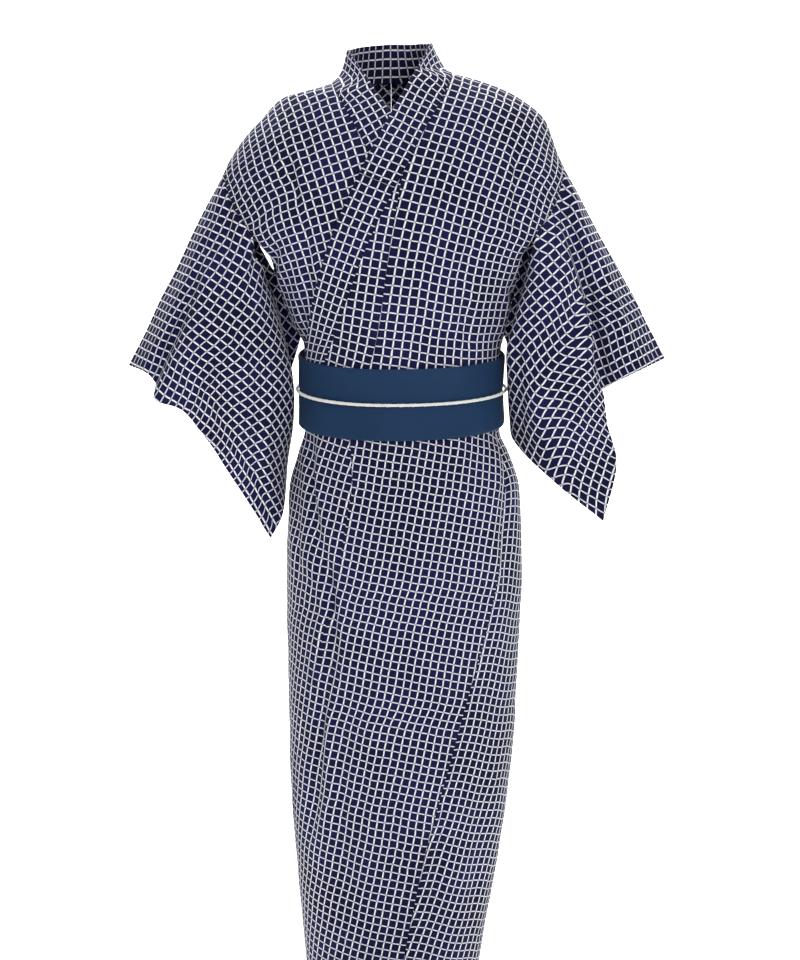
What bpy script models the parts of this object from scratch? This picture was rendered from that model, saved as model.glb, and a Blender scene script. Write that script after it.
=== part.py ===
"""A woman's cotton yukata, worn closed with its own sash and sash cord, as cut and sewn pieces.

Metres, +Z up. The front faces -Y and the wearer's left is +X. The origin is the base of the neck.
The whole robe is one spiral wrap: a point on it is a turn about the body and a height, and the
wrap draws in by LAYER_STEP each full turn, so that overlapping layers stay clear of each other.
"""

import math
from collections import namedtuple

import bpy
from mathutils import Vector

# Cloth and clearances
CLOTH = 0.0020
COLLAR_CLOTH = 0.0030
OVER_COLLAR_CLOTH = 0.0010
SEAM_GAP = 0.0003
LAYER_STEP = 0.0065

# The cut of the robe, flat
FRONT_WIDTH = 0.24
OKUMI_WIDTH = 0.15
BACK_WIDTH = 0.30

# Heights of the worn robe
WAIST = -0.500
COLLAR_END = -0.530
HEM = -1.360
FULL_HIP = -0.660
FREE_SWING = 0.130

# The sash and its cord
OBI_HEIGHT = 0.100
OBI_CLOTH = 0.0030
OBI_CLEAR = 0.0037
OBI_MIDDLE = -0.4985
OBI_DIP = 0.019
FOLD_CLOTH = 0.0080
FOLD_CLEAR = 0.0006
FOLD_HALF_TURN = 25.0
FOLD_TOP = -0.385
FOLD_BOTTOM = -0.560
FOLD_COLUMNS = 10
FOLD_ROWS = 8
CORD_RADIUS = 0.0024
CORD_FADE = 4.0
CORD_REACH = 16.0

ROUNDNESS = 0.94
NUDGE_TURN = 2.0
NUDGE_Z = 0.002

# Horizontal rings of the worn robe: how far it reaches from the middle to each side.
Ring = namedtuple("Ring", "z left right front back")
BODY = (
    Ring(z=0.010, left=0.060, right=0.054, front=0.036, back=0.081),
    Ring(z=-0.010, left=0.064, right=0.060, front=0.040, back=0.083),
    Ring(z=-0.030, left=0.068, right=0.070, front=0.047, back=0.086),
    Ring(z=-0.046, left=0.073, right=0.082, front=0.054, back=0.089),
    Ring(z=-0.058, left=0.082, right=0.126, front=0.060, back=0.094),
    Ring(z=-0.069, left=0.106, right=0.155, front=0.066, back=0.100),
    Ring(z=-0.083, left=0.158, right=0.184, front=0.074, back=0.105),
    Ring(z=-0.097, left=0.175, right=0.205, front=0.083, back=0.109),
    Ring(z=-0.112, left=0.188, right=0.219, front=0.092, back=0.113),
    Ring(z=-0.129, left=0.203, right=0.227, front=0.100, back=0.117),
    Ring(z=-0.157, left=0.225, right=0.237, front=0.112, back=0.121),
    Ring(z=-0.200, left=0.247, right=0.252, front=0.124, back=0.125),
    Ring(z=-0.270, left=0.240, right=0.246, front=0.133, back=0.126),
    Ring(z=-0.320, left=0.196, right=0.206, front=0.134, back=0.123),
    Ring(z=-0.360, left=0.166, right=0.183, front=0.131, back=0.119),
    Ring(z=-0.400, left=0.148, right=0.170, front=0.125, back=0.113),
    Ring(z=-0.440, left=0.129, right=0.159, front=0.119, back=0.109),
    Ring(z=-0.500, left=0.1265, right=0.157, front=0.117, back=0.108),
    Ring(z=-0.560, left=0.1285, right=0.158, front=0.118, back=0.111),
    Ring(z=-0.590, left=0.135, right=0.170, front=0.122, back=0.119),
    Ring(z=-0.640, left=0.144, right=0.187, front=0.127, back=0.130),
    Ring(z=-0.750, left=0.149, right=0.191, front=0.129, back=0.136),
    Ring(z=-0.890, left=0.148, right=0.186, front=0.123, back=0.128),
    Ring(z=-1.032, left=0.146, right=0.178, front=0.117, back=0.118),
    Ring(z=-1.257, left=0.131, right=0.145, front=0.105, back=0.104),
    Ring(z=-1.370, left=0.120, right=0.126, front=0.097, back=0.097),
)

# The front from the shoulder ridge to the waist. Each row gives the place across and the height of the
# collar's free edge, the collar seam and the okumi seam on the wearer's left, which meet above the
# okumi's tip, and the turn and the height of the panel's outer edge.
Front = namedtuple("Front", "free_x free_z seam_x seam_z okumi_x okumi_z edge_turn edge_z")
FRONT = (
    Front(0.0590, -0.005, 0.0895, -0.049, 0.0895, -0.049, 90.0, -0.162),
    Front(0.0437, -0.033, 0.0818, -0.066, 0.0818, -0.066, 80.0, -0.187),
    Front(0.0291, -0.059, 0.0717, -0.089, 0.0717, -0.089, 73.0, -0.213),
    Front(0.0130, -0.088, 0.0603, -0.111, 0.0603, -0.111, 66.0, -0.244),
    Front(-0.0067, -0.126, 0.0393, -0.150, 0.0393, -0.150, 60.0, -0.262),
    Front(-0.0304, -0.172, 0.0185, -0.193, 0.0185, -0.193, 56.0, -0.280),
    Front(-0.0622, -0.238, -0.0145, -0.258, 0.0058, -0.258, 58.0, -0.305),
    Front(-0.0907, -0.311, -0.0451, -0.329, -0.0059, -0.332, 66.0, -0.335),
    Front(-0.1088, -0.377, -0.0676, -0.395, -0.0140, -0.398, 80.0, -0.385),
    Front(-0.1180, -0.432, -0.0846, -0.440, -0.0240, -0.445, 80.0, -0.440),
    Front(-0.1235, WAIST, -0.1080, WAIST, -0.0428, WAIST, 80.0, WAIST),
)
# The wearer's right front hangs the same, mirrored, but its collar sits a little lower at the neck.
Neck = namedtuple("Neck", "free_x free_z seam_x seam_z")
RIGHT_NECK = (
    Neck(0.0655, -0.015, 0.0890, -0.062),
    Neck(0.0540, -0.034, 0.0830, -0.073),
    Neck(0.0360, -0.058, 0.0735, -0.090),
    Neck(0.0150, -0.089, 0.0600, -0.113),
    Neck(-0.0067, -0.122, 0.0400, -0.150),
)
RIGHT_FRONT = RIGHT_NECK + tuple(Neck(*row[:4]) for row in FRONT[len(RIGHT_NECK) :])
TIP_ROW = 5
EDGE_OPEN_ROW = 5
WAIST_ROW = 10

# The back over the same rows: the collar's edges run round the neck to row 4, then the centre back.
Back = namedtuple("Back", "free_turn free_z seam_turn seam_z edge_turn edge_z")
BACK = (
    Back(90.0, -0.005, 90.0, -0.049, 90.0, -0.162),
    Back(110.0, -0.003, 112.0, -0.050, 100.0, -0.187),
    Back(133.0, 0.000, 135.0, -0.051, 107.0, -0.213),
    Back(156.0, 0.001, 158.0, -0.052, 114.0, -0.244),
    Back(180.0, 0.002, 180.0, -0.053, 119.0, -0.262),
    Back(180.0, 0.002, 180.0, -0.100, 123.0, -0.280),
    Back(180.0, 0.002, 180.0, -0.170, 121.0, -0.305),
    Back(180.0, 0.002, 180.0, -0.250, 112.0, -0.335),
    Back(180.0, 0.002, 180.0, -0.340, 89.0, -0.385),
    Back(180.0, 0.002, 180.0, -0.425, 80.0, -0.440),
    Back(180.0, 0.002, 180.0, WAIST, 80.0, WAIST),
)
NECK_ROW = 4

# The wearer's left side seam swings to the front on its way down.
SideSeam = namedtuple("SideSeam", "z turn")
SIDE_SEAM = (
    SideSeam(-0.500, 80.0),
    SideSeam(-0.560, 73.0),
    SideSeam(-0.618, 64.5),
    SideSeam(-0.700, 56.5),
    SideSeam(-0.760, 52.0),
    SideSeam(-0.850, 44.0),
    SideSeam(-0.932, 35.3),
    SideSeam(-1.033, 26.2),
    SideSeam(-1.145, 17.5),
    SideSeam(-1.232, 11.8),
    SideSeam(-1.310, 7.2),
    SideSeam(-1.370, 4.5),
)

# Sleeve sections from the shoulder ridge down. Each is a weft line, as points at the armhole, a third,
# two thirds and the cuff: the place across, the height, and the depth of the front and back sheets.
Weft = namedtuple("Weft", "name x z front back")
LEFT_SLEEVE = (
    Weft(
        "top",
        x=(0.238, 0.287, 0.341, 0.394),
        z=(-0.161, -0.254, -0.351, -0.455),
        front=(0, -0.005, -0.010, -0.020),
        back=(0, -0.005, -0.010, -0.020),
    ),
    Weft(
        "arm",
        x=(0.234, 0.267, 0.310, 0.350),
        z=(-0.191, -0.266, -0.362, -0.473),
        front=(-0.045, -0.055, -0.062, -0.060),
        back=(0.045, 0.045, 0.040, 0.025),
    ),
    Weft(
        "valley",
        x=(0.229, 0.252, 0.280, 0.304),
        z=(-0.214, -0.283, -0.371, -0.498),
        front=(-0.056, -0.055, -0.050, -0.045),
        back=(0.055, 0.055, 0.045, 0.012),
    ),
    Weft(
        "ridge",
        x=(0.223, 0.244, 0.270, 0.302),
        z=(-0.226, -0.287, -0.378, -0.507),
        front=(-0.066, -0.073, -0.080, -0.072),
        back=(0.063, 0.060, 0.045, -0.020),
    ),
    Weft(
        "armpit",
        x=(0.205, 0.220, 0.259, 0.308),
        z=(-0.276, -0.350, -0.434, -0.548),
        front=(-0.078, -0.088, -0.090, -0.070),
        back=(0.075, 0.068, 0.045, -0.061),
    ),
    Weft(
        "elbow",
        x=(0.183, 0.169, 0.222, 0.322),
        z=(-0.385, -0.442, -0.519, -0.606),
        front=(-0.010, -0.065, -0.085, -0.060),
        back=(0.095, 0.055, 0.010, -0.052),
    ),
    Weft(
        "foot",
        x=(0.179, 0.177, 0.230, 0.305),
        z=(-0.540, -0.573, -0.628, -0.688),
        front=(0.045, -0.020, -0.055, -0.045),
        back=(0.055, -0.012, -0.0495, -0.037),
    ),
)
RIGHT_SLEEVE = (
    Weft(
        "top",
        x=(-0.238, -0.285, -0.331, -0.377),
        z=(-0.180, -0.274, -0.370, -0.465),
        front=(0, -0.005, -0.010, -0.020),
        back=(0, -0.005, -0.010, -0.020),
    ),
    Weft(
        "arm",
        x=(-0.212, -0.257, -0.303, -0.351),
        z=(-0.197, -0.290, -0.384, -0.473),
        front=(-0.045, -0.055, -0.060, -0.055),
        back=(0.045, 0.045, 0.040, 0.025),
    ),
    Weft(
        "valley",
        x=(-0.196, -0.248, -0.288, -0.337),
        z=(-0.211, -0.301, -0.378, -0.489),
        front=(-0.056, -0.060, -0.060, -0.046),
        back=(0.055, 0.055, 0.045, 0.012),
    ),
    Weft(
        "ridge",
        x=(-0.185, -0.239, -0.277, -0.333),
        z=(-0.227, -0.318, -0.406, -0.514),
        front=(-0.066, -0.072, -0.078, -0.068),
        back=(0.063, 0.060, 0.045, -0.016),
    ),
    Weft(
        "armpit",
        x=(-0.179, -0.203, -0.238, -0.290),
        z=(-0.282, -0.376, -0.463, -0.534),
        front=(-0.078, -0.082, -0.084, -0.060),
        back=(0.075, 0.068, 0.045, -0.052),
    ),
    Weft(
        "elbow",
        x=(-0.159, -0.142, -0.191, -0.232),
        z=(-0.410, -0.497, -0.555, -0.616),
        front=(0.020, -0.035, -0.078, -0.060),
        back=(0.095, 0.055, 0.005, -0.052),
    ),
    Weft(
        "foot",
        x=(-0.150, -0.153, -0.156, -0.172),
        z=(-0.571, -0.631, -0.679, -0.712),
        front=(0.065, 0.020, -0.030, -0.045),
        back=(0.075, 0.030, -0.0245, -0.037),
    ),
)
ARMPIT_STATION = 4
ELBOW_STATION = 5
BACK_OUT = 0.010
POUCH_GAP = 0.008
NET_SHARES = (0.0, 1 / 3, 2 / 3, 1.0)
NET_NUDGE = 0.03


def at(table, key, column, value):
    """The column of a table at that value of the key, by monotone cubic interpolation."""
    keys = [getattr(row, key) for row in table]
    values = [getattr(row, column) for row in table]
    return cubic(keys, values, value)


def cubic(keys, values, value):
    if keys[0] > keys[-1]:
        keys = keys[::-1]
        values = values[::-1]
    if value <= keys[0]:
        return values[0]
    if value >= keys[-1]:
        return values[-1]
    i = max(k for k in range(len(keys) - 1) if keys[k] <= value)
    width = keys[i + 1] - keys[i]
    t = (value - keys[i]) / width
    slope_a = knot_slope(keys, values, i) * width
    slope_b = knot_slope(keys, values, i + 1) * width
    a, b = values[i], values[i + 1]
    return (
        (2 * t**3 - 3 * t**2 + 1) * a
        + (t**3 - 2 * t**2 + t) * slope_a
        + (3 * t**2 - 2 * t**3) * b
        + (t**3 - t**2) * slope_b
    )


def knot_slope(keys, values, i):
    if i == 0:
        return (values[1] - values[0]) / (keys[1] - keys[0])
    if i == len(keys) - 1:
        return (values[-1] - values[-2]) / (keys[-1] - keys[-2])
    before = (values[i] - values[i - 1]) / (keys[i] - keys[i - 1])
    after = (values[i + 1] - values[i]) / (keys[i + 1] - keys[i])
    if before * after <= 0:
        return 0.0
    return 2 * before * after / (before + after)


def row_value(table, column, row):
    """The column of a table of rows at a row number that need not be whole."""
    return cubic(list(range(len(table))), [getattr(entry, column) for entry in table], row)


def superellipse(value):
    return math.copysign(abs(value) ** ROUNDNESS, value)


def ring_point(turn, z, out):
    """The point of the body's ring at this height, moved out by a distance."""
    angle = math.radians(turn)
    across, along = math.sin(angle), math.cos(angle)
    half = at(BODY, "z", "right" if across >= 0 else "left", z)
    depth = at(BODY, "z", "front" if along >= 0 else "back", z)
    return Vector(((half + out) * superellipse(across), -(depth + out) * superellipse(along), z))


def robe_point(turn, z):
    """A point of the robe's outer face: the wrap draws in as it turns towards the right front."""
    return ring_point(turn, z, -LAYER_STEP * (turn - 90.0) / 360.0)


def robe_normal(turn, z):
    """The way straight out of the robe's outer face at a place."""
    around = robe_point(turn + NUDGE_TURN, z) - robe_point(turn - NUDGE_TURN, z)
    up = robe_point(turn, z + NUDGE_Z) - robe_point(turn, z - NUDGE_Z)
    return around.cross(up).normalized()


ARC_STEPS = 180
ARCS = {}


def arcs(z):
    """How far round the ring each step of a full turn lies, from the front."""
    key = round(z, 5)
    if key not in ARCS:
        points = [ring_point(360.0 * i / ARC_STEPS, z, 0.0) for i in range(ARC_STEPS + 1)]
        lengths = [0.0]
        for a, b in zip(points, points[1:]):
            lengths.append(lengths[-1] + (b - a).length)
        ARCS[key] = lengths
    return ARCS[key]


def arc_of(turn, z):
    lengths = arcs(z)
    whole, part = divmod(turn / 360.0, 1.0)
    place = part * ARC_STEPS
    i = min(int(place), ARC_STEPS - 1)
    return whole * lengths[-1] + lengths[i] + (place - i) * (lengths[i + 1] - lengths[i])


def turn_of(arc, z):
    lengths = arcs(z)
    whole, part = divmod(arc, lengths[-1])
    i = max(k for k in range(ARC_STEPS) if lengths[k] <= part)
    step = (part - lengths[i]) / (lengths[i + 1] - lengths[i])
    return 360.0 * (whole + (i + step) / ARC_STEPS)


def smooth(t):
    t = min(max(t, 0.0), 1.0)
    return t * t * (3 - 2 * t)


def skirt_seams(z):
    """Turns of the skirt's seams at a height, from the left okumi's free edge to the right one's."""
    left = arc_of(at(SIDE_SEAM, "z", "turn", z), z)
    even = arc_of(360.0 - at(SIDE_SEAM, "z", "turn", z), z)
    full = smooth((WAIST - z) / (WAIST - FULL_HIP))
    right = even + full * (left + 2 * BACK_WIDTH - even)
    places = {
        "left_free": left - FRONT_WIDTH - OKUMI_WIDTH,
        "left_okumi": left - FRONT_WIDTH,
        "left_side": left,
        "back": (left + right) / 2,
        "right_side": right,
        "right_okumi": right + FRONT_WIDTH,
        "right_free": right + FRONT_WIDTH + OKUMI_WIDTH,
    }
    return {name: turn_of(place, z) for name, place in places.items()}


SKIRT_ROWS = 12
SKIRT_STEP = (COLLAR_END - HEM) / (SKIRT_ROWS - 1)
HIDDEN_FREE_TURN = -84.0
HIDDEN_SEAM_TURN = -66.0


def row_height(row):
    """The height of a row below the waist: the first one down is where the collar ends."""
    below = row - WAIST_ROW
    if below <= 1:
        return WAIST + below * (COLLAR_END - WAIST)
    return COLLAR_END - (below - 1) * SKIRT_STEP


def turn_at(x, z):
    """The turn, on the front half, of the place that far across the body at a height."""
    half = at(BODY, "z", "right" if x >= 0 else "left", z)
    share = min(abs(x) / half, 1.0) ** (1 / ROUNDNESS)
    return math.copysign(math.degrees(math.asin(share)), x)


def lower_turn(line, row, waist_turn):
    """The turn of the collar's edges where the sash hides them, from the waist to the collar's end."""
    end = HIDDEN_FREE_TURN if line == "free" else HIDDEN_SEAM_TURN
    return waist_turn + (row - WAIST_ROW) * (end - waist_turn)


def front_place(line, row):
    """The turn and height of a line of the left front at a row: free, seam, okumi or edge."""
    if row > WAIST_ROW:
        z = row_height(row)
        if line in ("free", "seam"):
            return lower_turn(line, row, front_place(line, WAIST_ROW)[0]), z
        return skirt_seams(z)["left_okumi" if line == "okumi" else "left_side"], z
    if line == "edge":
        return row_value(FRONT, "edge_turn", row), row_value(FRONT, "edge_z", row)
    if line == "okumi" and row <= TIP_ROW:
        line = "seam"
    z = row_value(FRONT, line + "_z", row)
    return turn_at(row_value(FRONT, line + "_x", row), z), z


def right_front_place(line, row):
    """The same for the right front, which is the left one mirrored but for its neck."""
    if row > WAIST_ROW and line in ("okumi", "edge"):
        z = row_height(row)
        return skirt_seams(z)["right_okumi" if line == "okumi" else "right_side"], z
    if row > WAIST_ROW or line == "edge":
        return mirrored(front_place(line, row))
    if line == "okumi" and row <= TIP_ROW:
        line = "seam"
    table = RIGHT_FRONT if line != "okumi" else FRONT
    z = row_value(table, line + "_z", row)
    return 360.0 + turn_at(-row_value(table, line + "_x", row), z), z


def mirrored(place):
    turn, z = place
    return 360.0 - turn, z


def back_place(line, row):
    """The same for the left back: free, seam (the collar's, then the centre back) or edge."""
    if row <= WAIST_ROW:
        return row_value(BACK, line + "_turn", row), row_value(BACK, line + "_z", row)
    z = row_height(row)
    return skirt_seams(z)["back" if line == "seam" else "left_side"], z


def right_back_place(line, row):
    if row > WAIST_ROW:
        z = row_height(row)
        return skirt_seams(z)["back" if line == "seam" else "right_side"], z
    turn, z = mirrored(back_place(line, row))
    if line in ("free", "seam") and row < NECK_ROW:
        lower = getattr(RIGHT_NECK[0], line + "_z") - getattr(FRONT[0], line + "_z")
        z += lower * (1 - smooth(row / NECK_ROW))
    return turn, z


def between(start, end, columns, inset_start, inset_end):
    """Places of the robe from one place to another, short of them by the insets."""
    length = (robe_point(*end) - robe_point(*start)).length
    low = inset_start / length
    high = 1 - inset_end / length
    places = []
    for i in range(columns + 1):
        t = low + (high - low) * i / columns
        places.append((start[0] + t * (end[0] - start[0]), start[1] + t * (end[1] - start[1])))
    return places


# Meshes


def normals(grid, closed):
    """Unit normals of a grid of points, towards the side that its rows and columns turn from."""
    rows, columns = len(grid), len(grid[0])
    found = []
    for i in range(rows):
        line = []
        for j in range(columns):
            if closed:
                down = grid[(i + 1) % rows][j] - grid[i - 1][j]
            else:
                down = grid[min(i + 1, rows - 1)][j] - grid[max(i - 1, 0)][j]
            across = grid[i][min(j + 1, columns - 1)] - grid[i][max(j - 1, 0)]
            line.append(down.cross(across).normalized())
        found.append(line)
    return found


def wall(name, grid, thickness, material, closed=False, out=None):
    """A closed wall: the grid is its outer face, and the inner one lies a thickness behind."""
    rows, columns = len(grid), len(grid[0])
    behind = out or normals(grid, closed)
    outer = [point for row in grid for point in row]
    inner = [grid[i][j] - behind[i][j] * thickness for i in range(rows) for j in range(columns)]
    count = rows * columns
    faces = []

    def index(i, j):
        return (i % rows) * columns + j

    for i in range(rows if closed else rows - 1):
        for j in range(columns - 1):
            near, below, far, beside = index(i, j), index(i + 1, j), index(i + 1, j + 1), index(i, j + 1)
            faces.append((near, below, far, beside))
            faces.append((near + count, beside + count, far + count, below + count))
        for j, turned in ((0, True), (columns - 1, False)):
            quad = (index(i, j), index(i + 1, j), index(i + 1, j) + count, index(i, j) + count)
            faces.append(tuple(reversed(quad)) if turned else quad)
    if not closed:
        for j in range(columns - 1):
            for i, turned in ((0, False), (rows - 1, True)):
                quad = (index(i, j), index(i, j + 1), index(i, j + 1) + count, index(i, j) + count)
                faces.append(tuple(reversed(quad)) if turned else quad)
    mesh = bpy.data.meshes.new(name)
    mesh.from_pydata([tuple(p) for p in outer + inner], [], faces)
    mesh.materials.append(material)
    obj = bpy.data.objects.new(name, mesh)
    bpy.context.scene.collection.objects.link(obj)
    for polygon in mesh.polygons:
        polygon.use_smooth = True
    return obj


def laid(name, places, thickness, material, lift=0.0):
    """A wall whose outer face lies on the robe's at a grid of places, or a lift out from it."""
    out = [[robe_normal(*place) for place in row] for row in places]
    grid = [
        [robe_point(*place) + normal * lift for place, normal in zip(row, line)]
        for row, line in zip(places, out)
    ]
    wall(name, grid, thickness, material, out=out)


def tube(name, path, radius, material, sides=8):
    """A closed loop of round cord about the body's axis."""
    count = len(path)
    points, faces = [], []
    for i in range(count):
        along = (path[(i + 1) % count] - path[i - 1]).normalized()
        out = along.cross(Vector((0, 0, 1))).normalized()
        up = out.cross(along)
        for k in range(sides):
            angle = 2 * math.pi * k / sides
            points.append(path[i] + (out * math.cos(angle) + up * math.sin(angle)) * radius)
            after = ((i + 1) % count) * sides
            turned = (k + 1) % sides
            faces.append((i * sides + k, after + k, after + turned, i * sides + turned))
    mesh = bpy.data.meshes.new(name)
    mesh.from_pydata([tuple(p) for p in points], [], faces)
    mesh.materials.append(material)
    obj = bpy.data.objects.new(name, mesh)
    bpy.context.scene.collection.objects.link(obj)
    for polygon in mesh.polygons:
        polygon.use_smooth = True


def cloth_material(name, colour, roughness):
    material = bpy.data.materials.new(name)
    material.use_nodes = True
    shader = material.node_tree.nodes["Principled BSDF"]
    shader.inputs["Base Color"].default_value = (*colour, 1.0)
    shader.inputs["Roughness"].default_value = roughness
    return material


# Pieces

BODICE_ROWS = [0, 0.25, 0.5, 1, 1.5, 2, 2.5, 3, 3.5, 4, 5, 5.4, 5.7, 6, 6.5, 7, 7.5, 8, 8.5, 9, 9.5, 10, 10.5]
SKIRT_ROW_LIST = [11, 11.5, 12, 12.5] + [WAIST_ROW + i for i in range(3, SKIRT_ROWS + 1)]
ALL_ROWS = BODICE_ROWS + SKIRT_ROW_LIST
PANEL_COLUMNS = 12
OKUMI_COLUMNS = 6
COLLAR_COLUMNS = 3
OVER_COLLAR_ROW = 5.4
ARMHOLE_FADE = 5.0
SLEEVE_COLUMNS = [0.007, 0.06, 0.13, 0.22, 0.33, 0.44, 0.55, 0.66, 0.77, 0.88, 1.0]
HANGING_STATIONS = [4.33, 4.67, 5, 5.33, 5.67, 6]


def panel(front, back):
    """A body panel in one length, from the front hem over the shoulder to the back hem."""
    half = SEAM_GAP / 2
    grid = []
    for row in reversed(ALL_ROWS):
        inner = front("okumi", row)
        grid.append(between(inner, front("edge", row), PANEL_COLUMNS, half, half))
    for row in ALL_ROWS[1:]:
        grid.append(between(back("seam", row), back("edge", row), PANEL_COLUMNS, half, half))
    return grid


def build_panels(material):
    left = panel(front_place, back_place)
    laid("left_panel", [row[::-1] for row in left], CLOTH, material)
    laid("right_panel", panel(right_front_place, right_back_place), CLOTH, material)


def free_edge(front, free_name, row):
    """The okumi's front edge below the collar's end, where it swings out to its full width."""
    z = row_height(row)
    start = front("seam", WAIST_ROW + 1)[0]
    return start + smooth((COLLAR_END - z) / FREE_SWING) * (skirt_seams(z)[free_name] - start), z


def okumi(front, free_name):
    half = SEAM_GAP / 2
    grid = []
    for row in [r for r in ALL_ROWS if r > TIP_ROW]:
        start = front("okumi", row)
        end = front("seam", row) if row <= WAIST_ROW + 1 else free_edge(front, free_name, row)
        grid.append(between(start, end, OKUMI_COLUMNS, half, half))
    return grid


def build_okumi(material):
    left = okumi(front_place, "left_free")
    laid("left_okumi", [row[::-1] for row in left], CLOTH, material)
    laid("right_okumi", okumi(right_front_place, "right_free"), CLOTH, material)


def collar_places():
    """(seam, free) places along the collar, from the left end round the neck to the right end."""
    rows = [r for r in ALL_ROWS if r <= WAIST_ROW + 1]
    places = [(front_place("seam", r), front_place("free", r)) for r in reversed(rows)]
    neck = [r for r in rows if 0 < r <= NECK_ROW]
    places += [(back_place("seam", r), back_place("free", r)) for r in neck]
    places += [(right_back_place("seam", r), right_back_place("free", r)) for r in reversed(neck[:-1])]
    places += [(right_front_place("seam", r), right_front_place("free", r)) for r in rows]
    return places


def build_collar(material):
    places = collar_places()
    grid = [between(seam, free, COLLAR_COLUMNS, SEAM_GAP, 0.0) for seam, free in places]
    laid("collar", grid, COLLAR_CLOTH, material)
    below = len([r for r in ALL_ROWS if OVER_COLLAR_ROW < r <= WAIST_ROW + 1])
    lift = SEAM_GAP + OVER_COLLAR_CLOTH
    laid("over_collar", grid[below:-below], OVER_COLLAR_CLOTH, material, lift=lift)


def net_point(table, station, across, face):
    """A point of the sleeve's net at a station from the shoulder and a share of the way to the cuff."""
    keys = list(range(len(table)))
    points = range(len(NET_SHARES))
    xs = [flowing(keys, [row.x[k] for row in table], station) for k in points]
    ys = [cubic(keys, [getattr(row, face)[k] for row in table], station) for k in points]
    zs = [flowing(keys, [row.z[k] for row in table], station) for k in points]
    if face == "back":
        free = smooth(station - ARMPIT_STATION)
        xs[0] += math.copysign(BACK_OUT, xs[0]) * free
        xs[2] += math.copysign(2 * BACK_OUT, xs[2]) * free
        xs[1] += ((xs[0] + xs[2]) / 2 - xs[1]) * free
    return Vector([flowing(NET_SHARES, values, across) for values in (xs, ys, zs)])


def flowing(keys, values, value):
    """Cubic interpolation that may overshoot its values a little, for cloth that swings past them."""
    i = max(k for k in range(len(keys) - 1) if keys[k] <= value or k == 0)
    width = keys[i + 1] - keys[i]
    t = (value - keys[i]) / width
    slopes = []
    for k in (i, i + 1):
        low, high = max(k - 1, 0), min(k + 1, len(keys) - 1)
        slopes.append((values[high] - values[low]) / (keys[high] - keys[low]) * width)
    a, b = values[i], values[i + 1]
    return (
        (2 * t**3 - 3 * t**2 + 1) * a
        + (t**3 - 2 * t**2 + t) * slopes[0]
        + (3 * t**2 - 2 * t**3) * b
        + (t**3 - t**2) * slopes[1]
    )


def behind_front(table, station, across):
    """A point a little way behind the sleeve's front sheet, where the back one lies at the foot."""
    here = net_point(table, station, across, "front")
    nearer = net_point(table, station, across - NET_NUDGE, "front")
    higher = net_point(table, station - NET_NUDGE, across, "front")
    inwards = (higher - here).cross(here - nearer).normalized()
    return here + inwards * math.copysign(POUCH_GAP, here.x)


def sleeve_point(table, armhole, station, across, face):
    """A point of a sleeve: its net, drawn onto the panel's edge along the armhole seam."""
    point = net_point(table, station, across, face)
    if face == "back" and station > ELBOW_STATION:
        closing = smooth(station - ELBOW_STATION)
        point = point.lerp(behind_front(table, station, across), closing)
    row = min(station / ARMPIT_STATION, 1.0) * EDGE_OPEN_ROW
    pull = smooth((ARMHOLE_FADE - station) / (ARMHOLE_FADE - ARMPIT_STATION)) * (1 - across) ** 3
    if pull > 0:
        seam = robe_point(*armhole(face, row))
        point += (seam - net_point(table, min(station, ARMPIT_STATION), 0.0, face)) * pull
    return point


def sleeve_grid(table, armhole):
    attached = [r * ARMPIT_STATION / EDGE_OPEN_ROW for r in ALL_ROWS if r <= EDGE_OPEN_ROW]
    rows = []
    for station in reversed(attached[1:] + HANGING_STATIONS):
        rows.append([sleeve_point(table, armhole, station, across, "back") for across in SLEEVE_COLUMNS])
    for station in attached + HANGING_STATIONS:
        rows.append([sleeve_point(table, armhole, station, across, "front") for across in SLEEVE_COLUMNS])
    return rows


def left_armhole(face, row):
    return (front_place if face == "front" else back_place)("edge", row)


def right_armhole(face, row):
    return (right_front_place if face == "front" else right_back_place)("edge", row)


def build_sleeves(material):
    wall("left_sleeve", sleeve_grid(LEFT_SLEEVE, left_armhole), CLOTH, material)
    right = sleeve_grid(RIGHT_SLEEVE, right_armhole)
    wall("right_sleeve", [row[::-1] for row in right], CLOTH, material)


def obi_height(turn, up):
    return OBI_MIDDLE - OBI_DIP * math.cos(math.radians(turn)) + up * OBI_HEIGHT / 2


OBI_STEPS = 72
OBI_HEIGHTS = (-1, -0.33, 0.33, 1)


def build_obi(material):
    out = OBI_CLEAR + OBI_CLOTH
    turns = [360.0 * i / OBI_STEPS for i in range(OBI_STEPS)]
    grid = [[ring_point(turn, obi_height(turn, up), out) for up in OBI_HEIGHTS] for turn in turns]
    wall("obi", grid, OBI_CLOTH, material, closed=True)
    turns = [180.0 + FOLD_HALF_TURN * (2 * i / FOLD_COLUMNS - 1) for i in range(FOLD_COLUMNS + 1)]
    heights = [FOLD_BOTTOM + (FOLD_TOP - FOLD_BOTTOM) * i / FOLD_ROWS for i in range(FOLD_ROWS + 1)]
    fold = [[ring_point(turn, z, out + FOLD_CLEAR + FOLD_CLOTH) for z in heights] for turn in turns]
    wall("obi_fold", fold, FOLD_CLOTH, material)


def build_cord(material):
    """The sash cord, a loop round the middle of the sash that rises over the fold at the back."""
    path = []
    for i in range(OBI_STEPS):
        turn = 360.0 * i / OBI_STEPS
        beside = abs(turn - 180.0) - FOLD_HALF_TURN
        over = 1.0 - smooth((beside - CORD_FADE) / CORD_REACH)
        out = OBI_CLEAR + OBI_CLOTH + SEAM_GAP + CORD_RADIUS + over * (FOLD_CLOTH + FOLD_CLEAR)
        path.append(ring_point(turn, obi_height(turn, 0.0), out))
    tube("obi_cord", path, CORD_RADIUS, material)


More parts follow.
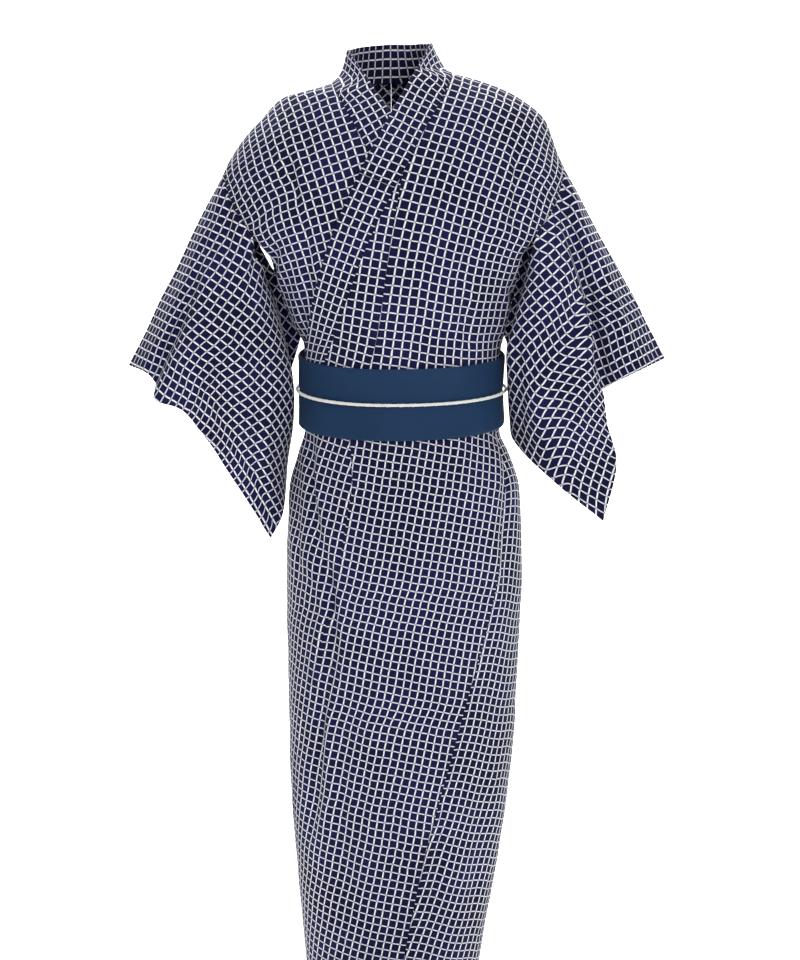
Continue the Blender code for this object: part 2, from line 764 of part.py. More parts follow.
def main():
    for obj in list(bpy.data.objects):
        bpy.data.objects.remove(obj, do_unlink=True)
    cotton = cloth_material("navy_cotton", (0.012, 0.012, 0.080), 0.85)
    sash = cloth_material("sash_cloth", (0.014, 0.050, 0.120), 0.75)
    braid = cloth_material("braided_cord", (0.80, 0.78, 0.70), 0.6)
    build_panels(cotton)
    build_okumi(cotton)
    build_collar(cotton)
    build_sleeves(cotton)
    build_obi(sash)
    build_cord(braid)


main()
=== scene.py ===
"""The looks of a woman's cotton yukata: thin woven cloth, its creases and lattice, the sash and its cord.

Metres, +Z up. The front faces -Y and the wearer's left is +X. The worn form comes from the same tables
and functions as the part's solids: a point of the robe is a turn about the body and a height.
"""

import math
from collections import namedtuple
from functools import lru_cache

import bpy
import numpy as np
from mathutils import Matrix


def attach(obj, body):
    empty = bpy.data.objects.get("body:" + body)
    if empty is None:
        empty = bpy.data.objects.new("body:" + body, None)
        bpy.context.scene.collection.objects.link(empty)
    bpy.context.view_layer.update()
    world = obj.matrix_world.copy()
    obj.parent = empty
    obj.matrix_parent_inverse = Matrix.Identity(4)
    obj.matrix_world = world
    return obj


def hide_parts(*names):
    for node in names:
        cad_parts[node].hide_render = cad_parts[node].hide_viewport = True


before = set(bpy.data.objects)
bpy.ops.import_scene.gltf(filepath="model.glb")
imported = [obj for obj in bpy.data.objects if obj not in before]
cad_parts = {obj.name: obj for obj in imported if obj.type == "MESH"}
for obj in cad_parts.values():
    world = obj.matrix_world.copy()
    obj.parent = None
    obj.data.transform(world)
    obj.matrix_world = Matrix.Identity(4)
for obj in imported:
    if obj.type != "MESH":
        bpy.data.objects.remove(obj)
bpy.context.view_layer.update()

# Cloth and clearances of the solids
COLLAR_CLOTH = 0.0030
OVER_COLLAR_CLOTH = 0.0010
SEAM_GAP = 0.0003
LAYER_STEP = 0.0065

# The cut of the robe, flat
FRONT_WIDTH = 0.24
OKUMI_WIDTH = 0.15
BACK_WIDTH = 0.30

# Heights of the worn robe
WAIST = -0.500
COLLAR_END = -0.530
HEM = -1.360
FULL_HIP = -0.660
FREE_SWING = 0.130

# The sash and its cord
OBI_HEIGHT = 0.100
OBI_CLOTH = 0.0030
OBI_CLEAR = 0.0037
OBI_MIDDLE = -0.4985
OBI_DIP = 0.019
FOLD_CLOTH = 0.0080
FOLD_CLEAR = 0.0006
FOLD_HALF_TURN = 25.0
FOLD_TOP = -0.385
FOLD_BOTTOM = -0.560
CORD_RADIUS = 0.0024

ROUNDNESS = 0.94
NUDGE_TURN = 2.0
NUDGE_Z = 0.002

# The cloth as it shows
SHELL = 0.0010
HEM_SHELL = 0.0018
HEM_FOLD = 0.018
COLLAR_CELLS = 4.3
COLLAR_CELL = 0.0122
BODICE_CELL = (0.0127, 0.0119)
SKIRT_CELL = (0.0112, 0.0115)
SLEEVE_CELL = (0.0124, 0.0124)
DRAWN_CELL = 0.012
FLAT_STEP = 3

# Horizontal rings of the worn robe: how far it reaches from the middle to each side.
Ring = namedtuple("Ring", "z left right front back")
BODY = (
    Ring(z=0.010, left=0.060, right=0.054, front=0.036, back=0.081),
    Ring(z=-0.010, left=0.064, right=0.060, front=0.040, back=0.083),
    Ring(z=-0.030, left=0.068, right=0.070, front=0.047, back=0.086),
    Ring(z=-0.046, left=0.073, right=0.082, front=0.054, back=0.089),
    Ring(z=-0.058, left=0.082, right=0.126, front=0.060, back=0.094),
    Ring(z=-0.069, left=0.106, right=0.155, front=0.066, back=0.100),
    Ring(z=-0.083, left=0.158, right=0.184, front=0.074, back=0.105),
    Ring(z=-0.097, left=0.175, right=0.205, front=0.083, back=0.109),
    Ring(z=-0.112, left=0.188, right=0.219, front=0.092, back=0.113),
    Ring(z=-0.129, left=0.203, right=0.227, front=0.100, back=0.117),
    Ring(z=-0.157, left=0.225, right=0.237, front=0.112, back=0.121),
    Ring(z=-0.200, left=0.247, right=0.252, front=0.124, back=0.125),
    Ring(z=-0.270, left=0.240, right=0.246, front=0.133, back=0.126),
    Ring(z=-0.320, left=0.196, right=0.206, front=0.134, back=0.123),
    Ring(z=-0.360, left=0.166, right=0.183, front=0.131, back=0.119),
    Ring(z=-0.400, left=0.148, right=0.170, front=0.125, back=0.113),
    Ring(z=-0.440, left=0.129, right=0.159, front=0.119, back=0.109),
    Ring(z=-0.500, left=0.1265, right=0.157, front=0.117, back=0.108),
    Ring(z=-0.560, left=0.1285, right=0.158, front=0.118, back=0.111),
    Ring(z=-0.590, left=0.135, right=0.170, front=0.122, back=0.119),
    Ring(z=-0.640, left=0.144, right=0.187, front=0.127, back=0.130),
    Ring(z=-0.750, left=0.149, right=0.191, front=0.129, back=0.136),
    Ring(z=-0.890, left=0.148, right=0.186, front=0.123, back=0.128),
    Ring(z=-1.032, left=0.146, right=0.178, front=0.117, back=0.118),
    Ring(z=-1.257, left=0.131, right=0.145, front=0.105, back=0.104),
    Ring(z=-1.370, left=0.120, right=0.126, front=0.097, back=0.097),
)

# The front from the shoulder ridge to the waist: the place across and the height of the collar's free
# edge, the collar seam and the okumi seam, and the turn and the height of the panel's outer edge.
Front = namedtuple("Front", "free_x free_z seam_x seam_z okumi_x okumi_z edge_turn edge_z")
FRONT = (
    Front(0.0590, -0.005, 0.0895, -0.049, 0.0895, -0.049, 90.0, -0.162),
    Front(0.0437, -0.033, 0.0818, -0.066, 0.0818, -0.066, 80.0, -0.187),
    Front(0.0291, -0.059, 0.0717, -0.089, 0.0717, -0.089, 73.0, -0.213),
    Front(0.0130, -0.088, 0.0603, -0.111, 0.0603, -0.111, 66.0, -0.244),
    Front(-0.0067, -0.126, 0.0393, -0.150, 0.0393, -0.150, 60.0, -0.262),
    Front(-0.0304, -0.172, 0.0185, -0.193, 0.0185, -0.193, 56.0, -0.280),
    Front(-0.0622, -0.238, -0.0145, -0.258, 0.0058, -0.258, 58.0, -0.305),
    Front(-0.0907, -0.311, -0.0451, -0.329, -0.0059, -0.332, 66.0, -0.335),
    Front(-0.1088, -0.377, -0.0676, -0.395, -0.0140, -0.398, 80.0, -0.385),
    Front(-0.1180, -0.432, -0.0846, -0.440, -0.0240, -0.445, 80.0, -0.440),
    Front(-0.1235, WAIST, -0.1080, WAIST, -0.0428, WAIST, 80.0, WAIST),
)
Neck = namedtuple("Neck", "free_x free_z seam_x seam_z")
RIGHT_NECK = (
    Neck(0.0655, -0.015, 0.0890, -0.062),
    Neck(0.0540, -0.034, 0.0830, -0.073),
    Neck(0.0360, -0.058, 0.0735, -0.090),
    Neck(0.0150, -0.089, 0.0600, -0.113),
    Neck(-0.0067, -0.122, 0.0400, -0.150),
)
RIGHT_FRONT = RIGHT_NECK + tuple(Neck(*row[:4]) for row in FRONT[len(RIGHT_NECK) :])
TIP_ROW = 5
EDGE_OPEN_ROW = 5
WAIST_ROW = 10
NECK_ROW = 4

Back = namedtuple("Back", "free_turn free_z seam_turn seam_z edge_turn edge_z")
BACK = (
    Back(90.0, -0.005, 90.0, -0.049, 90.0, -0.162),
    Back(110.0, -0.003, 112.0, -0.050, 100.0, -0.187),
    Back(133.0, 0.000, 135.0, -0.051, 107.0, -0.213),
    Back(156.0, 0.001, 158.0, -0.052, 114.0, -0.244),
    Back(180.0, 0.002, 180.0, -0.053, 119.0, -0.262),
    Back(180.0, 0.002, 180.0, -0.100, 123.0, -0.280),
    Back(180.0, 0.002, 180.0, -0.170, 121.0, -0.305),
    Back(180.0, 0.002, 180.0, -0.250, 112.0, -0.335),
    Back(180.0, 0.002, 180.0, -0.340, 89.0, -0.385),
    Back(180.0, 0.002, 180.0, -0.425, 80.0, -0.440),
    Back(180.0, 0.002, 180.0, WAIST, 80.0, WAIST),
)

SideSeam = namedtuple("SideSeam", "z turn")
SIDE_SEAM = (
    SideSeam(-0.500, 80.0),
    SideSeam(-0.560, 73.0),
    SideSeam(-0.618, 64.5),
    SideSeam(-0.700, 56.5),
    SideSeam(-0.760, 52.0),
    SideSeam(-0.850, 44.0),
    SideSeam(-0.932, 35.3),
    SideSeam(-1.033, 26.2),
    SideSeam(-1.145, 17.5),
    SideSeam(-1.232, 11.8),
    SideSeam(-1.310, 7.2),
    SideSeam(-1.370, 4.5),
)

# Sleeve sections from the shoulder ridge down the front sheet. Each is a weft line, as points at the
# armhole, a third, two thirds and the cuff: across, height, and the depth of the front and back sheets.
Weft = namedtuple("Weft", "name x z front back")
LEFT_SLEEVE = (
    Weft("top", x=(0.238, 0.287, 0.341, 0.394), z=(-0.161, -0.254, -0.351, -0.455),
         front=(0, -0.005, -0.010, -0.020), back=(0, -0.005, -0.010, -0.020)),
    Weft("arm", x=(0.234, 0.267, 0.310, 0.350), z=(-0.191, -0.266, -0.362, -0.473),
         front=(-0.045, -0.055, -0.062, -0.060), back=(0.045, 0.045, 0.040, 0.025)),
    Weft("valley", x=(0.229, 0.252, 0.280, 0.304), z=(-0.214, -0.283, -0.371, -0.498),
         front=(-0.056, -0.055, -0.050, -0.045), back=(0.055, 0.055, 0.045, 0.012)),
    Weft("ridge", x=(0.223, 0.244, 0.270, 0.302), z=(-0.226, -0.287, -0.378, -0.507),
         front=(-0.066, -0.073, -0.080, -0.072), back=(0.063, 0.060, 0.045, -0.020)),
    Weft("armpit", x=(0.205, 0.220, 0.259, 0.308), z=(-0.276, -0.350, -0.434, -0.548),
         front=(-0.078, -0.088, -0.090, -0.070), back=(0.075, 0.068, 0.045, -0.061)),
    Weft("elbow", x=(0.183, 0.169, 0.222, 0.322), z=(-0.385, -0.442, -0.519, -0.606),
         front=(-0.010, -0.065, -0.085, -0.060), back=(0.095, 0.055, 0.010, -0.052)),
    Weft("foot", x=(0.179, 0.177, 0.230, 0.305), z=(-0.540, -0.573, -0.628, -0.688),
         front=(0.045, -0.020, -0.055, -0.045), back=(0.055, -0.012, -0.0495, -0.037)),
)
RIGHT_SLEEVE = (
    Weft("top", x=(-0.238, -0.285, -0.331, -0.377), z=(-0.180, -0.274, -0.370, -0.465),
         front=(0, -0.005, -0.010, -0.020), back=(0, -0.005, -0.010, -0.020)),
    Weft("arm", x=(-0.212, -0.257, -0.303, -0.351), z=(-0.197, -0.290, -0.384, -0.473),
         front=(-0.045, -0.055, -0.060, -0.055), back=(0.045, 0.045, 0.040, 0.025)),
    Weft("valley", x=(-0.196, -0.248, -0.288, -0.337), z=(-0.211, -0.301, -0.378, -0.489),
         front=(-0.056, -0.060, -0.060, -0.046), back=(0.055, 0.055, 0.045, 0.012)),
    Weft("ridge", x=(-0.185, -0.239, -0.277, -0.333), z=(-0.227, -0.318, -0.406, -0.514),
         front=(-0.066, -0.072, -0.078, -0.068), back=(0.063, 0.060, 0.045, -0.016)),
    Weft("armpit", x=(-0.179, -0.203, -0.238, -0.290), z=(-0.282, -0.376, -0.463, -0.534),
         front=(-0.078, -0.082, -0.084, -0.060), back=(0.075, 0.068, 0.045, -0.052)),
    Weft("elbow", x=(-0.159, -0.142, -0.191, -0.232), z=(-0.410, -0.497, -0.555, -0.616),
         front=(0.020, -0.035, -0.078, -0.060), back=(0.095, 0.055, 0.005, -0.052)),
    Weft("foot", x=(-0.150, -0.153, -0.156, -0.172), z=(-0.571, -0.631, -0.679, -0.712),
         front=(0.065, 0.020, -0.030, -0.045), back=(0.075, 0.030, -0.0245, -0.037)),
)
ARMPIT_STATION = 4
ELBOW_STATION = 5
BACK_OUT = 0.010
INNER_HANG = 0.035
POUCH_GAP = 0.008
NET_NUDGE = 0.03
ARMHOLE_FADE = 5.0

# Creases, each a curve through three points as seen from the front, in across and height, with its
# half width and how far it stands out, or in where that is negative.
Crease = namedtuple("Crease", "name x0 z0 x1 z1 x2 z2 width depth")
BODY_CREASES = (
    Crease("left fold upper", -0.114, -0.550, -0.113, -0.632, -0.098, -0.755, 0.007, -0.0055),
    Crease("left fold middle", -0.104, -0.700, -0.084, -0.820, -0.097, -0.955, 0.009, -0.0070),
    Crease("left fold lower", -0.094, -0.900, -0.106, -1.034, -0.120, -1.170, 0.009, -0.0060),
    Crease("middle crease upper", 0.012, -0.556, 0.014, -0.678, 0.018, -0.801, 0.007, -0.0025),
    Crease("middle crease lower", 0.017, -0.767, 0.023, -0.869, 0.024, -0.965, 0.007, -0.0022),
    Crease("thin crease", 0.005, -1.014, 0.003, -1.120, 0.002, -1.227, 0.004, -0.0018),
    Crease("lower valley", -0.070, -0.913, -0.071, -1.077, -0.075, -1.325, 0.014, -0.0035),
    Crease("lower ridge", -0.024, -0.909, -0.024, -1.077, -0.027, -1.325, 0.014, 0.0035),
    Crease("beside side seam", 0.080, -1.057, 0.071, -1.149, 0.056, -1.271, 0.007, -0.0035),
    Crease("right side", 0.159, -0.556, 0.164, -0.678, 0.162, -0.811, 0.008, -0.0030),
    Crease("right lower", 0.133, -0.999, 0.127, -1.149, 0.110, -1.315, 0.012, -0.0025),
    Crease("hip left", -0.132, -0.556, -0.135, -0.678, -0.127, -0.811, 0.006, -0.0025),
    Crease("under sash", 0.069, -0.540, 0.086, -0.608, 0.100, -0.698, 0.009, -0.0018),
    Crease("chest diagonal", 0.121, -0.258, 0.110, -0.302, 0.083, -0.385, 0.010, -0.0028),
    Crease("arm fold", 0.177, -0.150, 0.177, -0.220, 0.170, -0.315, 0.009, -0.0050),
    Crease("sash fold", 0.163, -0.341, 0.178, -0.399, 0.160, -0.453, 0.008, -0.0050),
    Crease("sash pucker", 0.040, -0.403, 0.046, -0.435, 0.050, -0.470, 0.006, -0.0018),
    Crease("low chest", 0.098, -0.361, 0.108, -0.410, 0.107, -0.451, 0.008, -0.0025),
    Crease("armpit fold", -0.148, -0.160, -0.135, -0.204, -0.128, -0.246, 0.006, -0.0040),
    Crease("armpit long", -0.121, -0.244, -0.117, -0.319, -0.115, -0.402, 0.008, -0.0035),
    Crease("under arm", -0.157, -0.268, -0.170, -0.347, -0.179, -0.412, 0.009, -0.0050),
    Crease("sash band", -0.131, -0.361, -0.122, -0.413, -0.118, -0.450, 0.007, -0.0030),
    Crease("shoulder", -0.100, -0.101, -0.116, -0.152, -0.125, -0.203, 0.010, -0.0018),
)
BACK_CREASES = (
    Crease("left blade", 0.085, -0.150, 0.098, -0.230, 0.092, -0.340, 0.012, -0.0030),
    Crease("right blade", -0.078, -0.140, -0.100, -0.240, -0.090, -0.350, 0.013, -0.0030),
    Crease("left armhole", 0.165, -0.210, 0.150, -0.290, 0.118, -0.380, 0.008, -0.0045),
    Crease("right armhole", -0.172, -0.220, -0.152, -0.300, -0.122, -0.390, 0.008, -0.0045),
    Crease("left gather", 0.060, -0.360, 0.068, -0.400, 0.066, -0.455, 0.006, -0.0028),
    Crease("right gather", -0.066, -0.350, -0.074, -0.400, -0.070, -0.455, 0.007, -0.0030),
    Crease("left hip", 0.090, -0.545, 0.105, -0.630, 0.112, -0.740, 0.008, -0.0035),
    Crease("right hip", -0.086, -0.545, -0.098, -0.650, -0.104, -0.760, 0.008, -0.0030),
    Crease("seat", 0.030, -0.550, 0.036, -0.620, 0.050, -0.700, 0.009, -0.0020),
    Crease("left drop", 0.062, -0.860, 0.058, -1.050, 0.052, -1.330, 0.013, -0.0045),
    Crease("right drop", -0.050, -0.840, -0.060, -1.040, -0.058, -1.330, 0.014, -0.0045),
    Crease("middle ridge", 0.005, -0.900, 0.000, -1.080, -0.004, -1.340, 0.015, 0.0035),
    Crease("outer drop", -0.118, -0.900, -0.112, -1.060, -0.100, -1.320, 0.010, -0.0035),
)
LEFT_SLEEVE_CREASES = (
    Crease("fold line upper", 0.236, -0.187, 0.256, -0.268, 0.280, -0.360, 0.007, -0.0045),
    Crease("fold line lower", 0.275, -0.330, 0.291, -0.421, 0.308, -0.510, 0.007, -0.0050),
    Crease("pouch", 0.218, -0.361, 0.239, -0.484, 0.259, -0.632, 0.012, -0.0025),
    Crease("pouch edge", 0.178, -0.400, 0.180, -0.484, 0.190, -0.594, 0.008, -0.0035),
    Crease("arm", 0.278, -0.263, 0.304, -0.357, 0.330, -0.470, 0.007, -0.0030),
    Crease("arm outer", 0.307, -0.305, 0.335, -0.385, 0.361, -0.455, 0.006, -0.0022),
)
RIGHT_SLEEVE_CREASES = (
    Crease("arm outer", -0.252, -0.230, -0.264, -0.287, -0.291, -0.380, 0.006, -0.0028),
    Crease("arm long", -0.274, -0.315, -0.298, -0.400, -0.325, -0.455, 0.006, -0.0028),
    Crease("arm upper", -0.222, -0.205, -0.230, -0.259, -0.231, -0.335, 0.006, -0.0030),
    Crease("valley", -0.184, -0.262, -0.201, -0.360, -0.238, -0.430, 0.008, -0.0045),
    Crease("valley lower", -0.222, -0.400, -0.257, -0.470, -0.287, -0.520, 0.008, -0.0045),
    Crease("armpit", -0.158, -0.178, -0.157, -0.266, -0.180, -0.365, 0.007, -0.0050),
    Crease("pouch fold", -0.182, -0.446, -0.188, -0.555, -0.196, -0.675, 0.009, -0.0045),
    Crease("pouch", -0.239, -0.463, -0.254, -0.541, -0.232, -0.630, 0.012, -0.0025),
)
CREASE_STEPS = 24
CREASE_FADE = 0.3
CREASE_GAIN = 1.25

# Interpolation


def smooth(t):
    t = np.clip(t, 0.0, 1.0)
    return t * t * (3 - 2 * t)


def hermite(t, a, b, slope_a, slope_b):
    return (
        (2 * t**3 - 3 * t**2 + 1) * a
        + (t**3 - 2 * t**2 + t) * slope_a
        + (3 * t**2 - 2 * t**3) * b
        + (t**3 - t**2) * slope_b
    )


def cubic(keys, values, value):
    """Monotone cubic interpolation, at one value or at an array of them."""
    keys = np.asarray(keys, float)
    values = np.asarray(values, float)
    if keys[0] > keys[-1]:
        keys, values = keys[::-1], values[::-1]
    widths = np.diff(keys)
    steps = np.diff(values) / widths
    before, after = steps[:-1], steps[1:]
    same = before * after > 0
    middle = np.where(same, 2 * before * after / np.where(same, before + after, 1.0), 0.0)
    slopes = np.concatenate((steps[:1], middle, steps[-1:]))
    value = np.clip(value, keys[0], keys[-1])
    i = np.clip(np.searchsorted(keys, value, side="right") - 1, 0, len(keys) - 2)
    t = (value - keys[i]) / widths[i]
    return hermite(t, values[i], values[i + 1], slopes[i] * widths[i], slopes[i + 1] * widths[i])


def flowing(keys, values, value):
    """Cubic interpolation that may overshoot its values a little, for cloth that swings past them."""
    keys = np.asarray(keys, float)
    values = np.asarray(values, float)
    value = np.asarray(value, float)
    last = len(keys) - 1
    i = np.clip(np.searchsorted(keys, value, side="right") - 1, 0, last - 1)
    width = (keys[i + 1] - keys[i])[:, None]
    slopes = []
    for k in (i, i + 1):
        low, high = np.maximum(k - 1, 0), np.minimum(k + 1, last)
        slopes.append((values[high] - values[low]) / (keys[high] - keys[low])[:, None] * width)
    t = (value - keys[i])[:, None] / width
    return hermite(t, values[i], values[i + 1], slopes[0], slopes[1])


def at(table, key, name, value):
    """The column of a table at a value, or at an array of them, of the key."""
    return cubic([getattr(row, key) for row in table], [getattr(row, name) for row in table], value)


def row_value(table, name, row):
    return cubic(range(len(table)), [getattr(entry, name) for entry in table], row)


# The worn form


def superellipse(value):
    return np.sign(value) * np.abs(value) ** ROUNDNESS


def ring_points(turn, z, out):
    """Points of the body's rings at turns and heights, moved out by a distance."""
    turn, z, out = np.broadcast_arrays(turn, np.asarray(z, float), out)
    across, along = np.sin(np.radians(turn)), np.cos(np.radians(turn))
    half = np.where(across >= 0, at(BODY, "z", "right", z), at(BODY, "z", "left", z))
    depth = np.where(along >= 0, at(BODY, "z", "front", z), at(BODY, "z", "back", z))
    return np.stack(((half + out) * superellipse(across), -(depth + out) * superellipse(along), z), axis=-1)


def robe_points(turn, z):
    """Points of the robe's outer face: the wrap draws in as it turns towards the right front."""
    return ring_points(turn, z, -LAYER_STEP * (turn - 90.0) / 360.0)


def unit(vectors):
    return vectors / np.maximum(np.linalg.norm(vectors, axis=-1, keepdims=True), 1e-12)


def robe_normals(turn, z):
    around = robe_points(turn + NUDGE_TURN, z) - robe_points(turn - NUDGE_TURN, z)
    up = robe_points(turn, z + NUDGE_Z) - robe_points(turn, z - NUDGE_Z)
    return unit(np.cross(around, up))


ARC_STEPS = 180


@lru_cache(maxsize=None)
def arcs(z):
    """How far round the ring each step of a full turn lies, from the front."""
    points = ring_points(np.linspace(0.0, 360.0, ARC_STEPS + 1), z, 0.0)
    return np.concatenate(([0.0], np.cumsum(np.linalg.norm(np.diff(points, axis=0), axis=1))))


def arc_of(turn, z):
    lengths = arcs(z)
    whole, part = divmod(turn / 360.0, 1.0)
    return whole * lengths[-1] + np.interp(part * ARC_STEPS, np.arange(ARC_STEPS + 1), lengths)


def turn_of(arc, z):
    lengths = arcs(z)
    whole, part = divmod(arc, lengths[-1])
    return 360.0 * (whole + np.interp(part, lengths, np.arange(ARC_STEPS + 1)) / ARC_STEPS)


@lru_cache(maxsize=None)
def skirt_seams(z):
    """Turns of the skirt's seams at a height, from the left okumi's free edge to the right one's."""
    seam = float(at(SIDE_SEAM, "z", "turn", z))
    left, even = arc_of(seam, z), arc_of(360.0 - seam, z)
    full = smooth((WAIST - z) / (WAIST - FULL_HIP))
    right = even + full * (left + 2 * BACK_WIDTH - even)
    places = {
        "left_free": left - FRONT_WIDTH - OKUMI_WIDTH,
        "left_okumi": left - FRONT_WIDTH,
        "left_side": left,
        "back": (left + right) / 2,
        "right_side": right,
        "right_okumi": right + FRONT_WIDTH,
        "right_free": right + FRONT_WIDTH + OKUMI_WIDTH,
    }
    return {name: turn_of(place, z) for name, place in places.items()}


SKIRT_ROWS = 12
SKIRT_STEP = (COLLAR_END - HEM) / (SKIRT_ROWS - 1)
HIDDEN_FREE_TURN = -84.0
HIDDEN_SEAM_TURN = -66.0


def row_height(row):
    """The height of a row below the waist: the first one down is where the collar ends."""
    below = row - WAIST_ROW
    if below <= 1:
        return float(WAIST + below * (COLLAR_END - WAIST))
    return float(COLLAR_END - (below - 1) * SKIRT_STEP)


def turn_at(x, z):
    """The turn, on the front half, of the place that far across the body at a height."""
    half = at(BODY, "z", "right" if x >= 0 else "left", z)
    share = min(abs(x) / half, 1.0) ** (1 / ROUNDNESS)
    return math.copysign(math.degrees(math.asin(share)), x)


def lower_turn(line, row, waist_turn):
    end = HIDDEN_FREE_TURN if line == "free" else HIDDEN_SEAM_TURN
    return waist_turn + (row - WAIST_ROW) * (end - waist_turn)


def front_place(line, row):
    """The turn and height of a line of the left front at a row: free, seam, okumi or edge."""
    if row > WAIST_ROW:
        z = row_height(row)
        if line in ("free", "seam"):
            return lower_turn(line, row, front_place(line, WAIST_ROW)[0]), z
        return skirt_seams(z)["left_okumi" if line == "okumi" else "left_side"], z
    if line == "edge":
        return row_value(FRONT, "edge_turn", row), row_value(FRONT, "edge_z", row)
    if line == "okumi" and row <= TIP_ROW:
        line = "seam"
    z = row_value(FRONT, line + "_z", row)
    return turn_at(row_value(FRONT, line + "_x", row), z), z


def right_front_place(line, row):
    """The same for the right front, which is the left one mirrored but for its neck."""
    if row > WAIST_ROW and line in ("okumi", "edge"):
        z = row_height(row)
        return skirt_seams(z)["right_okumi" if line == "okumi" else "right_side"], z
    if row > WAIST_ROW or line == "edge":
        return mirrored(front_place(line, row))
    if line == "okumi" and row <= TIP_ROW:
        line = "seam"
    table = RIGHT_FRONT if line != "okumi" else FRONT
    z = row_value(table, line + "_z", row)
    return 360.0 + turn_at(-row_value(table, line + "_x", row), z), z


def mirrored(place):
    turn, z = place
    return 360.0 - turn, z


def back_place(line, row):
    """The same for the left back: free, seam (the collar's, then the centre back) or edge."""
    if row <= WAIST_ROW:
        return row_value(BACK, line + "_turn", row), row_value(BACK, line + "_z", row)
    z = row_height(row)
    return skirt_seams(z)["back" if line == "seam" else "left_side"], z


def right_back_place(line, row):
    if row > WAIST_ROW:
        z = row_height(row)
        return skirt_seams(z)["back" if line == "seam" else "right_side"], z
    turn, z = mirrored(back_place(line, row))
    if line in ("free", "seam") and row < NECK_ROW:
        lower = getattr(RIGHT_NECK[0], line + "_z") - getattr(FRONT[0], line + "_z")
        z += lower * (1 - smooth(row / NECK_ROW))
    return turn, z


def free_edge(front, free_name, row):
    """The okumi's front edge below the collar's end, where it swings out to its full width."""
    z = row_height(row)
    start = front("seam", WAIST_ROW + 1)[0]
    return start + smooth((COLLAR_END - z) / FREE_SWING) * (skirt_seams(z)[free_name] - start), z


def spread(start, end, shares, inset_start, inset_end):
    """Places of one row, from one place of the robe to another and short of them by the insets."""
    length = np.linalg.norm(robe_points(*end) - robe_points(*start))
    t = inset_start / length + (1 - (inset_start + inset_end) / length) * shares
    return np.stack((start[0] + t * (end[0] - start[0]), start[1] + t * (end[1] - start[1])), axis=-1)


# Rows run down from the shoulder ridge, whole numbers as in the tables, finer where the cloth turns.
RowBand = namedtuple("RowBand", "low high steps")
ROW_BANDS = (RowBand(0, 4, 8), RowBand(4, 10, 11), RowBand(10, 11, 6), RowBand(11, 22, 13))
LAST_ROW = 22
EDGE_SHARES = (0.0, 0.006, 0.016)
OKUMI_START = 5.05
OVER_COLLAR_ROW = 5.4


def fine_rows(start=0.0, end=LAST_ROW):
    rows = [band.low + np.arange(band.steps * (band.high - band.low)) / band.steps for band in ROW_BANDS]
    rows = np.concatenate(rows + [[LAST_ROW]])
    rows = rows[(rows > start) & (rows < end)]
    return np.concatenate(([start], rows, [end]))


def shares_of(count):
    """Shares of the way across, with extra ones close to both edges."""
    near = np.array(EDGE_SHARES)
    middle = np.linspace(0.03, 0.97, count)
    return np.concatenate((near, middle, 1 - near[::-1]))


# Relief


def crease_relief(table, x, z):
    """How far the creases stand out or in at each place, as seen along Y."""
    total = np.zeros_like(x)
    t = np.linspace(0.0, 1.0, CREASE_STEPS)
    weights = ((1 - t) * (1 - 2 * t), 4 * t * (1 - t), t * (2 * t - 1))
    for number, crease in enumerate(table):
        cx = weights[0] * crease.x0 + weights[1] * crease.x1 + weights[2] * crease.x2
        cz = weights[0] * crease.z0 + weights[1] * crease.z1 + weights[2] * crease.z2
        near = (
            (x > cx.min() - 0.05) & (x < cx.max() + 0.05) & (z > cz.min() - 0.05) & (z < cz.max() + 0.05)
        )
        if not near.any():
            continue
        dx, dz = x[near][:, None] - cx, z[near][:, None] - cz
        nearest = np.argmin(dx**2 + dz**2, axis=1)
        along_x, along_z = np.gradient(cx)[nearest], np.gradient(cz)[nearest]
        length = np.hypot(along_x, along_z)
        pick = np.arange(len(nearest))
        px, pz = dx[pick, nearest], dz[pick, nearest]
        step = (px * along_x + pz * along_z) / length**2
        share = np.clip(t[nearest] + step / (CREASE_STEPS - 1), -0.2, 1.2)
        aside = (px * along_z - pz * along_x) / length
        width = crease.width * (1.0 + 0.3 * np.sin(9.0 * share + number))
        side = 1.0 if number % 2 else -1.0
        ratio = aside / width
        shape = np.exp(-(ratio**2)) - 0.4 * np.exp(-(((ratio - 1.8 * side) / 1.0) ** 2))
        fade = smooth(share / CREASE_FADE) * smooth((1 - share) / CREASE_FADE)
        total[near] += CREASE_GAIN * crease.depth * fade * shape
    return total


def ripple(x, z, height, seed=0.0):
    """The small unevenness of hanging cotton."""
    return height * (
        np.sin(71 * x + 23 * z + seed)
        + 0.8 * np.sin(-47 * x + 61 * z + 1.3 + seed)
        + 0.6 * np.sin(113 * x + 9 * z + 2.1 + seed)
        + 0.5 * np.sin(37 * x - 97 * z + 0.7 + seed)
    )


def seam_dip(distance, depth=0.0008, reach=0.0026):
    """The dip of the cloth where it turns in at a seam."""
    return -depth * np.exp(-((distance / reach) ** 2))


def body_relief(points):
    """The robe's creases on its front, back and sides."""
    x, y, z = points[..., 0], points[..., 1], points[..., 2]
    front = smooth((0.03 - y) / 0.06)
    relief = crease_relief(BODY_CREASES, x, z) * front + crease_relief(BACK_CREASES, x, z) * (1 - front)
    return relief + ripple(x + 0.5 * y, z, 0.00035)


# Meshes


